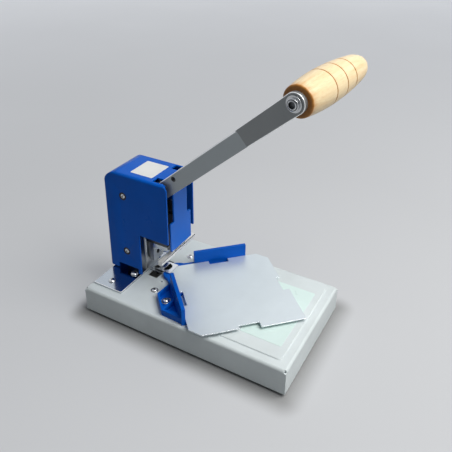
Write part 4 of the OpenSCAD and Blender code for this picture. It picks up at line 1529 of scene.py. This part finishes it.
@dataclass
class Springs:
    """The ram's return spring and the clamp bar's two springs.

    Attributes:
        return_wire: Wire diameter of the return spring in metres.
        return_turns: Turns of the return spring.
        return_ease: Turns over which its ends draw in to the axis.
        return_tail: Length of its straight ends.
        clamp_wire: Wire diameter of a clamp spring.
        clamp_turns: Turns of a clamp spring.
    """

    return_wire: float = 1.2 * MM
    return_turns: int = 13
    return_ease: float = 0.75
    return_tail: float = 4 * MM
    clamp_wire: float = 1.0 * MM
    clamp_turns: int = 5

    def build(self) -> None:
        """Builds the return spring and the clamp's two springs where the CAD springs stand, and
        hides those.
        """
        low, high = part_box("return_spring")
        middle = ((low.x + high.x) / 2, (low.y + high.y) / 2)
        spring = self._wind("return_spring_dressed", [
            Coil(middle, low=low.z + self.return_tail, high=high.z - self.return_tail,
                 mean_d=high.y - low.y - self.return_wire, wire_d=self.return_wire,
                 turns=self.return_turns, ease=self.return_ease, tail=self.return_tail)
        ])
        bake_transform(spring)
        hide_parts("return_spring")
        boxes = Mesh.solids("clamp_springs")
        half = self.clamp_wire / 2
        pair = self._wind("clamp_springs_dressed", [
            Coil(((a.x + b.x) / 2, (a.y + b.y) / 2), low=a.z + half, high=b.z - half,
                 mean_d=b.y - a.y - self.clamp_wire, wire_d=self.clamp_wire,
                 turns=self.clamp_turns)
            for a, b in boxes
        ])
        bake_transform(pair)
        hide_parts("clamp_springs")
        log.info("springs: return and clamp")

    @staticmethod
    def _wind(name: str, coils: list[Coil]) -> Piece:
        """Makes one piece of several coils.

        Args:
            name: The piece's name.
            coils: The coils.

        Returns:
            The piece.
        """
        data = bmesh.new()
        for coil in coils:
            coil.add_to(data)
        return Mesh.piece(name, data, Finish.SPRING_STEEL, smooth=50)


@dataclass(frozen=True)
class Burn:
    """How far the handle's wood is burnt, from 0 to 1.

    Attributes:
        depth: Distance in metres from the end to the middle of the burn's fade.
        face_l: Depth that counts as the end face.
        face_loss: What the face's burn loses towards its rim.
        face_fade: Where that loss starts and over what span, as shares of the end's radius.
        edge: Burn beside the end face.
        edge_fade: Length of its fade as a share of the depth.
        warm: Burn of the browned band beyond it.
        warm_l: Length of that band as a multiple of the depth.
        groove: Burn in a turned groove.
        groove_w: Its width as a share of the groove's half width.
    """

    depth: float = 2.2 * MM
    face_l: float = 0.3 * MM
    face_loss: float = 0.45
    face_fade: Pair = (0.6, 0.35)
    edge: float = 0.6
    edge_fade: float = 0.35
    warm: float = 0.28
    warm_l: float = 3.5
    groove: float = 0.85
    groove_w: float = 0.9


@dataclass
class Handle:
    """The turned wooden handle, with Z along its axis and the origin at its end by the bar.

    Attributes:
        length: Length in metres.
        end_r: Radius at the end by the bar.
        end_round: How far each point of the rounded end lies inside that radius, and its height.
        max_r: Largest radius.
        belly: Distance from the end to the largest radius.
        neck_r: Radius where the rounded tip starts.
        tip_l: Length of the rounded tip.
        grooves: Places of the turned grooves as shares of the length.
        groove_w: Half width of a groove.
        groove_d: Depth of a groove.
        bore_r: Radius of the bore for the screw.
        bore_l: Depth of the bore.
        burnt: How the wood is burnt.
        start: Distance from the end at which the body's profile starts.
        body_steps: Steps of the profile along the body.
        groove_steps: Steps across half a groove.
        tip_steps: Steps round the tip.
        sides: Faces round the handle.
    """

    length: float = 0.150
    end_r: float = 0.0183
    end_round: tuple[Pair, ...] = ((2.0 * MM, 0.0), (0.9 * MM, 0.25 * MM), (0.2 * MM, 0.8 * MM))
    max_r: float = 0.022
    belly: float = 0.050
    neck_r: float = 0.0172
    tip_l: float = 0.028
    grooves: tuple[float, ...] = (0.303, 0.469, 0.629)
    groove_w: float = 0.0009
    groove_d: float = 0.0008
    bore_r: float = 0.0041
    bore_l: float = 0.061
    burnt: Burn = Burn()
    start: float = 1.2 * MM
    body_steps: int = 110
    groove_steps: int = 4
    tip_steps: int = 16
    sides: int = 96

    def build(self, name: str) -> Piece:
        """Builds the handle with its grain and burn stored on its points.

        Args:
            name: The piece's name.

        Returns:
            The handle, in its own frame.
        """
        profile = [(0.0, self.bore_l), (self.bore_r, self.bore_l), (self.bore_r, 0.0)]
        profile += [(self.end_r - inset, s) for inset, s in self.end_round]
        profile += [(self.radius(s), s) for s in self._stations()]
        profile.append((0.0, self.length))
        obj = Mesh.piece(name, Mesh.lathe(profile, self.sides), Finish.BEECH, smooth=50)
        points = [vert.co.copy() for vert in obj.data.vertices]
        turned = obj.data.attributes.new("turned", "FLOAT_VECTOR", "POINT")
        turned.data.foreach_set("vector", [part for point in points for part in point])
        burn = obj.data.attributes.new("burn", "FLOAT", "POINT")
        burn.data.foreach_set("value", [self.burn(point.z, point.xy.length) for point in points])
        return obj

    def radius(self, s: float) -> float:
        """Finds the radius at a place, grooves included.

        Args:
            s: Distance from the end in metres.

        Returns:
            The radius in metres.
        """
        if s < self.belly:
            narrow, far = self.end_r, (self.belly - s) / self.belly
        else:
            span = self.length - self.tip_l - self.belly
            narrow, far = self.neck_r, (s - self.belly) / span
        r = self.max_r - (self.max_r - narrow) * far ** 2
        tip = (s - self.length + self.tip_l) / self.tip_l
        if tip > 0:
            r *= math.sqrt(max(0.0, 1 - tip * tip))
        for share in self.grooves:
            aside = abs(s - share * self.length) / self.groove_w
            if aside < 1:
                r -= self.groove_d * (1 - aside * aside)
        return r

    def burn(self, s: float, r: float) -> float:
        """Finds how burnt the wood is at a place.

        Args:
            s: Distance from the end in metres.
            r: Distance from the axis.

        Returns:
            The share of burnt wood, from 0 to 1.
        """
        burnt = self.burnt
        if s < burnt.face_l:
            start, span = burnt.face_fade
            return 1.0 - burnt.face_loss * min(1.0, max(0.0, (r / self.end_r - start) / span))
        edge = burnt.edge / (1 + math.exp((s - burnt.depth) / (burnt.edge_fade * burnt.depth)))
        warm = burnt.warm * math.exp(-((s / (burnt.warm_l * burnt.depth)) ** 2))
        aside = min(abs(s - share * self.length) for share in self.grooves)
        groove = burnt.groove * math.exp(-((aside / (burnt.groove_w * self.groove_w)) ** 2))
        return max(edge, warm, groove)

    def _stations(self) -> list[float]:
        """Lists the distances from the end at which the body's profile has points.

        Returns:
            The distances in metres, in order.
        """
        fine = self.groove_steps
        found = [self.length * i / self.body_steps for i in range(self.body_steps + 1)]
        found += [
            share * self.length + self.groove_w * k / fine
            for share in self.grooves for k in range(-fine - 1, fine + 2)
        ]
        for i in range(self.tip_steps):
            round_off = 1 - math.sin(math.pi / 2 * i / self.tip_steps)
            found.append(self.length - self.tip_l * round_off)
        places = sorted({round(s, 6) for s in found if s > self.start})
        return [s for s in places if s < self.length - SAME]


@dataclass
class Lever(Assembly):
    """The fork, the handle bar and the handle with its screw.

    Attributes:
        rest: Lever angle above the horizontal in degrees.
        fork_l: Length from the pivot to the bar's bend in metres.
        rise: Height of the bar's middle line above the pivot.
        bar_y: Middle of the bar's thickness at its bend.
        bar_t: Thickness of the bar.
        bar_l: Length from the bend to the handle screw.
        bar_edges: Levels of the bar's lower and upper edge at the fork, from its middle line.
        taper_l: Length from the bend over which the bar thins to its own thickness.
        bar_start: Where the bar's near and far side start, along and across the fork.
        seam_in: Distance from the bar's near start to where the bar's darker tone, painted shade of
            the bend, takes over.
        foot_box: Lowest and highest corner of the bar's foot inside the fork.
        shaded_hole: Place of the hole in the arms, along and square to the fork, painted black as
            shade.
        shaded_hole_r: Radius that holds the hole and its rim.
        bar_turn: Lean, drop and splay of the bar in degrees.
        socket_r: Radius that holds the handle screw's socket, painted dark as shade.
        painted_reflection_ring: Inner and outer radius of the dark ring painted on that screw's
            bright head as a reflection.
        handle: The wooden handle.
    """

    rest: float = 41.1
    fork_l: float = 0.2403
    rise: float = 0.0134
    bar_y: float = -0.015
    bar_t: float = 0.006
    bar_l: float = 0.0785
    bar_edges: Pair = (-0.0112, 0.0122)
    taper_l: float = 0.062
    bar_start: tuple[Pair, Pair] = ((0.2335, -0.02392), (0.2407, -0.0120))
    seam_in: float = 2 * MM
    foot_box: tuple[Point, Point] = ((0.1903, -0.0180, 0.0034), (0.2400, -0.0120, 0.0201))
    shaded_hole: Pair = (0.1145, 0.0184)
    shaded_hole_r: float = 0.0038
    bar_turn: Point = (-3.1, -0.2, -8.2)
    socket_r: float = 0.00425
    painted_reflection_ring: Pair = (0.00535, 0.0064)
    handle: Handle = field(default_factory=Handle)

    def build(self) -> None:
        """Builds the lever's pieces."""
        self._add_arms()
        self.dress("pivot_bushes", Finish.BRONZE, "bronze", 0.2 * MM)
        self.dress("drive_pin", Finish.MACHINED, "machined", 0.4 * MM)
        self.dress("drive_roller", Finish.BRONZE, "bronze", 0.3 * MM)
        self._add_handle_screw()
        self.dress("handle_washer", Finish.ZINC, "zinc", 0.25 * MM)
        handle = self.handle.build("handle_dressed")
        handle.data.transform(self.handle_frame())
        self.keep(handle, "beech", "handle")

    def _add_arms(self) -> None:
        """Builds the fork and the bar: bright edges that are partly a painted highlight, lighter
        and darker tones painted either side of the seam, and painted shade in the arms' holes.
        """
        to_lever = self.lever_frame().inverted()
        seam = self.bar_start[0][0] + self.seam_in
        shaded_hole = Vector((self.shaded_hole[0], self.shaded_hole[1]))
        fork = Mesh.refined("lever_fork", Finish.LIT_FORK_STEEL, 0.8 * MM)
        bar = Mesh.refined("lever_bar", Finish.SHADED_LEVER_STEEL, 0.8 * MM, reshape=self._run_on)
        # Bright rounded edges: partly worn bare metal, partly a painted highlight line.
        for piece in (fork, bar):
            Mesh.wear_and_highlight_edges(piece, Finish.WORN_HIGHLIGHT_EDGE)
        # Painted light and shade: the fork keeps its lighter tone and the bar its darker one up to
        # the seam, which also takes the bright edge off the seam.
        Mesh.paint(fork, Finish.LIT_FORK_STEEL, lambda centre: (to_lever @ centre).x > seam)
        Mesh.paint(bar, Finish.SHADED_LEVER_STEEL, lambda centre: (to_lever @ centre).x < seam)
        # Painted shade: the hole in each arm and its rim are painted black.
        Mesh.paint(
            fork, Finish.BLACK_STEEL,
            lambda centre: ((to_lever @ centre).xz - shaded_hole).length < self.shaded_hole_r)
        self.keep(fork, "lever_steel", "lever_fork")
        self.keep(bar, "lever_steel", "lever_bar")

    def _add_handle_screw(self) -> None:
        """Dresses the handle's screw, with painted shade in its socket and a painted dark
        reflection ring on its bright head.
        """
        to_handle = self.handle_frame().inverted()
        inner, outer = self.painted_reflection_ring

        def is_painted_dark(centre: Vector) -> bool:
            """Says whether a face outside the bar is in the socket or the ring.

            Args:
                centre: The face's centre.

            Returns:
                True for a face in the socket's painted shade and for one in the painted reflection
                ring.
            """
            place = to_handle @ centre
            reach = place.xy.length
            return place.z < -self.bar_t and (reach < self.socket_r or inner < reach < outer)

        screw = self.dress("handle_screw", Finish.ZINC, "zinc", 0.3 * MM)
        # Painted shade in the socket and a painted dark reflection ring on the bright head.
        Mesh.paint(screw, Finish.DARK_STEEL_AND_SHADE, is_painted_dark)

    def _run_on(self, data: Shape) -> None:
        """Thickens the bar towards the fork, so that its face runs on from the fork's.

        Args:
            data: The bar's geometry.
        """
        lever, bar = self.lever_frame(), self.bar_frame()
        to_bar = bar.inverted()
        cut = bmesh.ops.bisect_plane(
            data, geom=[*data.verts, *data.edges, *data.faces], clear_inner=True,
            plane_co=bar @ Vector((self.taper_l, 0, 0)), plane_no=bar.to_3x3() @ Vector((1, 0, 0)),
        )
        rim = [item for item in cut["geom_cut"] if isinstance(item, bmesh.types.BMEdge)]
        # Faces are made one by one, because an extrusion's order changes from run to run
        start = {}
        for vert in dict.fromkeys(vert for edge in rim for vert in edge.verts):
            place = to_bar @ vert.co
            level = self.rise + self.bar_edges[place.z > 0]
            start[vert] = data.verts.new(lever @ Vector((*self.bar_start[place.y > 0], level)))
        end = []
        for edge in rim:
            loop = edge.link_loops[0]
            first, second = loop.link_loop_next.vert, loop.vert
            data.faces.new((first, second, start[second], start[first]))
            end.append(data.edges.get((start[first], start[second])))
        bmesh.ops.edgeloop_fill(data, edges=end)
        low, high = map(Vector, self.foot_box)
        middle, size = Matrix.Translation((low + high) / 2), Matrix.Diagonal((*(high - low), 1.0))
        bmesh.ops.create_cube(data, size=1.0, matrix=lever @ middle @ size)
        bmesh.ops.recalc_face_normals(data, faces=data.faces)

    def lever_frame(self) -> Matrix:
        """Finds the lever's frame: X along the fork, origin at the pivot.

        Returns:
            The frame.
        """
        joint = next(j for j in frame["joints"] if j["name"] == "lever_pivot")
        tilt = Matrix.Rotation(-math.radians(self.rest), 4, "Y")
        return Matrix.Translation(joint["pos_m"]) @ tilt

    def bar_frame(self) -> Matrix:
        """Finds the bar's frame: X along the bar from its bend, Y through its thickness.

        Returns:
            The frame.
        """
        lean, drop, splay = (
            Matrix.Rotation(math.radians(angle), 4, axis)
            for angle, axis in zip(self.bar_turn, "XYZ")
        )
        turn = splay @ drop @ lean
        bend = Matrix.Translation((self.fork_l, self.bar_y, self.rise))
        return self.lever_frame() @ bend @ turn

    def handle_frame(self) -> Matrix:
        """Returns the handle's frame: Z along its axis, origin at its end on the bar."""
        end = Matrix.Translation((self.bar_l, self.bar_t / 2, 0))
        return self.bar_frame() @ (end @ Matrix.Rotation(-math.pi / 2, 4, "X"))


@dataclass
class Ram(Assembly):
    """The ram, the punch, its holder and the front panel."""

    def build(self) -> None:
        """Builds the ram's pieces."""
        # The ram in near-black steel, partly painted shade for the gap beside the front panel.
        self.dress("ram", Finish.DARK_STEEL_AND_SHADE, "machined", 0.5 * MM)
        self.dress("punch_holder", Finish.BRIGHT_STEEL, "bright_steel", 0.1 * MM)
        self.dress("punch", Finish.MACHINED, "machined", 0.05 * MM)
        self.dress("holder_screws", Finish.BLACK_STEEL, "black_steel", 0.2 * MM)
        # The front panel takes the lighter copy of the blue enamel, painted light.
        self.dress("front_panel", Finish.LIT_PANEL_ENAMEL, "blue_enamel", 0.5 * MM)


@dataclass
class Clamp(Assembly):
    """The paper clamp bar and its pins.

    Attributes:
        groove: Depth below the bar's top of the upper and lower edge of the painted shade line on
            its front.
        front: Depth behind the bar's foremost point that counts as its front.
    """

    groove: Pair = (0.8 * MM, 2.0 * MM)
    front: float = 0.2 * MM

    def build(self) -> None:
        """Builds the clamp's pieces."""
        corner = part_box("clamp_bar")[1]
        upper, lower = (corner.z - depth for depth in self.groove)

        def score(data: Shape) -> None:
            """Cuts the bar's faces at the line's edges.

            Args:
                data: The bar's geometry.
            """
            for level in (lower, upper):
                bmesh.ops.bisect_plane(
                    data, geom=[*data.verts, *data.edges, *data.faces], plane_co=(0, 0, level),
                    plane_no=(0, 0, 1),
                )

        def in_painted_shade_line(centre: Vector) -> bool:
            """Says whether a face lies in the painted shade line on the bar's front."""
            return lower < centre.z < upper and centre.x > corner.x - self.front

        bar = Mesh.refined("clamp_bar", Finish.SATIN_STEEL, 0.4 * MM, reshape=score)
        # Painted shade: a black line along the top of the bar's front face.
        Mesh.paint(bar, Finish.BLACK_STEEL, in_painted_shade_line)
        self.keep(bar, "bright_steel", "clamp_bar")
        self.dress("clamp_pins", Finish.BRIGHT_STEEL, "bright_steel", 0.2 * MM)


@dataclass(frozen=True)
class Lamp:
    """A soft square lamp aimed at a point.

    Attributes:
        name: The lamp's name.
        place: Position in metres.
        size: Side of the lamp.
        power: Power in watts.
        colour: Colour of the light.
    """

    name: str
    place: Point
    size: float
    power: float
    colour: Colour = (1.0, 1.0, 1.0)

    def build(self, target: Point) -> None:
        """Adds the lamp.

        Args:
            target: Point that the lamp faces.
        """
        data = bpy.data.lights.new(self.name, "AREA")
        data.shape = "SQUARE"
        data.size = self.size
        data.energy = self.power
        data.color = self.colour
        lamp = bpy.data.objects.new(self.name, data)
        lamp.location = self.place
        lamp.rotation_mode = "QUATERNION"
        way = Vector(target) - Vector(self.place)
        lamp.rotation_quaternion = way.to_track_quat("-Z", "Y")
        bpy.context.scene.collection.objects.link(lamp)


@dataclass
class Studio:
    """Floor, world, lamps and the camera.

    Attributes:
        azimuth: Direction of the camera about Z in degrees, from -Y.
        elevation: Camera's pitch in degrees.
        roll: Camera's roll in degrees.
        focal_px: Focal length in pixels of the square frame.
        centre_px: Height of the optical axis in the frame, from its top.
        eye: Position of the camera in metres.
        clip: Nearest and farthest distance that the camera sees.
        lamps: The lamps.
        target: Point that the lamps face.
        floor_half: Half the side of the floor.
        floor_colour: Colour of the floor.
        floor_shown: What the floor adds where it is seen or mirrored, near and far.
        floor_fade: Distances from the middle between which that changes.
        foot: Half the length and width of the base, under which the floor adds nothing, a painted
            shadow.
        painted_shadow_fade: Distance from the base over which the floor's painted shadow fades out
            and its glow comes up to full strength.
        sky_colour: Colour of the surround.
        sky_light: Strength of the surround as light.
        sky_shown: Strength of the surround where it is seen.
        sky_glow: Strength of the surround where it is mirrored, on its dark and bright side.
        sky_side: Direction of the surround's bright side.
        sky_fade: How far towards that side the glow starts and ends, from -1 to 1.
    """

    azimuth: float = 29.16
    elevation: float = 25.82
    roll: float = 0.62
    focal_px: float = 560.4
    centre_px: float = 160.0
    eye: Point = (0.3155, -0.5297, 0.5323)
    clip: Pair = (0.01, 50.0)
    lamps: tuple[Lamp, ...] = (
        Lamp("overhead", (0.82, 0.12, 1.4), size=1.1, power=26.0, colour=(1.0, 0.985, 0.96)),
        Lamp("front_fill", (1.3, 0.1, 0.75), size=0.8, power=0.6),
    )
    target: Point = (0.0, 0.0, 0.12)
    floor_half: float = 6.0
    floor_colour: Colour = (0.32, 0.325, 0.33)
    floor_shown: Pair = (0.30, 0.53)
    floor_fade: Pair = (0.5, 2.6)
    foot: Pair = (0.149, 0.091)
    painted_shadow_fade: float = 0.03
    sky_colour: Colour = (0.92, 0.95, 1.0)
    sky_light: float = 0.14
    sky_shown: float = 0.80
    sky_glow: Pair = (0.26, 0.95)
    sky_side: Point = (-0.40, 0.60, 0.69)
    sky_fade: Pair = (-0.5, 0.9)

    def build(self) -> None:
        """Builds the studio."""
        self._add_camera()
        self._add_floor()
        self._set_world()
        for lamp in self.lamps:
            lamp.build(self.target)
        bpy.context.scene.view_settings.view_transform = "Standard"

    def _add_camera(self) -> None:
        """Adds the camera at the photograph's angle."""
        a, e, r = (math.radians(v) for v in (self.azimuth, self.elevation, self.roll))
        back = Vector((math.sin(a) * math.cos(e), -math.cos(a) * math.cos(e), math.sin(e)))
        right = Vector((math.cos(a), math.sin(a), 0.0))
        up = back.cross(right)
        side = math.cos(r) * right + math.sin(r) * up
        top = -math.sin(r) * right + math.cos(r) * up
        data = bpy.data.cameras.new("photo_camera")
        data.lens = self.focal_px / PHOTO_SIDE * data.sensor_width
        data.shift_y = (self.centre_px - PHOTO_SIDE / 2) / PHOTO_SIDE
        data.clip_start, data.clip_end = self.clip
        camera = bpy.data.objects.new("photo_camera", data)
        turn = Matrix((side, top, back)).transposed().to_4x4()
        camera.matrix_world = Matrix.Translation(self.eye) @ turn
        bpy.context.scene.collection.objects.link(camera)
        bpy.context.scene.camera = camera

    def _add_floor(self) -> None:
        """Adds the pale floor, which glows only where it is seen, with the glow held off round the
        base as a painted shadow.
        """
        data = bmesh.new()
        bmesh.ops.create_grid(data, x_segments=1, y_segments=1, size=self.floor_half)
        mesh = bpy.data.meshes.new("floor")
        data.to_mesh(mesh)
        data.free()
        tree = Surface("floor")
        place = tree.place()
        cloud = tree.noise(place, 3.0, detail=4)
        reach = tree.vectors("LENGTH", place, out="Value")
        # Painted shadow: the glow is held off under the base and fades in around it, so the floor
        # darkens round the base.
        beyond = tree.vectors("SUBTRACT", tree.vectors("ABSOLUTE", place), (*self.foot, 0.0))
        outside = tree.vectors("MAXIMUM", beyond, (0.0, 0.0, 0.0))
        gap = tree.vectors("LENGTH", outside, out="Value")
        clear = tree.remap(gap, 0.0, 1.0, 0.0, self.painted_shadow_fade, smooth=True)
        glow = tree.maths("MULTIPLY", tree.remap(reach, *self.floor_shown, *self.floor_fade), clear)
        tree.feed(
            Base_Color=tree.fade(cloud, shade(self.floor_colour, 0.98), self.floor_colour),
            Roughness=tree.remap(cloud, 0.7, 0.8),
            Emission_Strength=tree.maths("MULTIPLY", glow, self._looks(tree)),
            Emission_Color=(*self.sky_colour, 1.0),
        )
        mesh.materials.append(tree.material)
        floor = bpy.data.objects.new("floor", mesh)
        bpy.context.scene.collection.objects.link(floor)

    @staticmethod
    def _looks(tree: NodeTree) -> Socket:
        """Adds nodes that give 1 on rays that see or mirror a surface, and 0 on its light.

        Args:
            tree: The node tree to add to.

        Returns:
            The value.
        """
        path = tree.add("ShaderNodeLightPath")
        seen = path.outputs["Is Camera Ray"]
        for ray in ("Is Glossy Ray", "Is Transmission Ray"):
            seen = tree.maths("MAXIMUM", seen, path.outputs[ray])
        return seen

    def _set_world(self) -> None:
        """Sets a pale surround, plain as light and where seen, with a bright side in mirrors."""
        world = bpy.data.worlds.new("studio")
        world.use_nodes = True
        world.node_tree.nodes.clear()
        tree = NodeTree(world.node_tree)
        way = tree.add("ShaderNodeTexCoord").outputs["Generated"]
        facing = tree.vectors("DOT_PRODUCT", way, self.sky_side, out="Value")
        glow = tree.remap(facing, *self.sky_glow, *self.sky_fade, smooth=True)
        light, shown, mirrored = (
            tree.add("ShaderNodeBackground", {
                "Color": (*self.sky_colour, 1.0), "Strength": strength}).outputs["Background"]
            for strength in (self.sky_light, self.sky_shown, glow)
        )
        camera = tree.add("ShaderNodeLightPath").outputs["Is Camera Ray"]
        looks = tree.add("ShaderNodeMixShader", {0: camera, 1: mirrored, 2: shown})
        whole = tree.add(
            "ShaderNodeMixShader", {0: self._looks(tree), 1: light, 2: looks.outputs["Shader"]})
        tree.add("ShaderNodeOutputWorld", {"Surface": whole.outputs["Shader"]})
        bpy.context.scene.world = world


def main() -> None:
    """Builds the press, its springs and the studio in order."""
    logging.basicConfig(level=logging.INFO, format="%(message)s")
    Studio().build()
    for assembly in (
        Base(Body.FRAME),
        Press(Body.FRAME),
        Table(Body.FRAME),
        Lever(Body.LEVER),
        Ram(Body.RAM),
        Clamp(Body.CLAMP),
    ):
        assembly.build()
        log.info("%s: %d pieces", type(assembly).__name__, len(assembly.made))
    Springs().build()


if __name__ == "__main__":
    main()
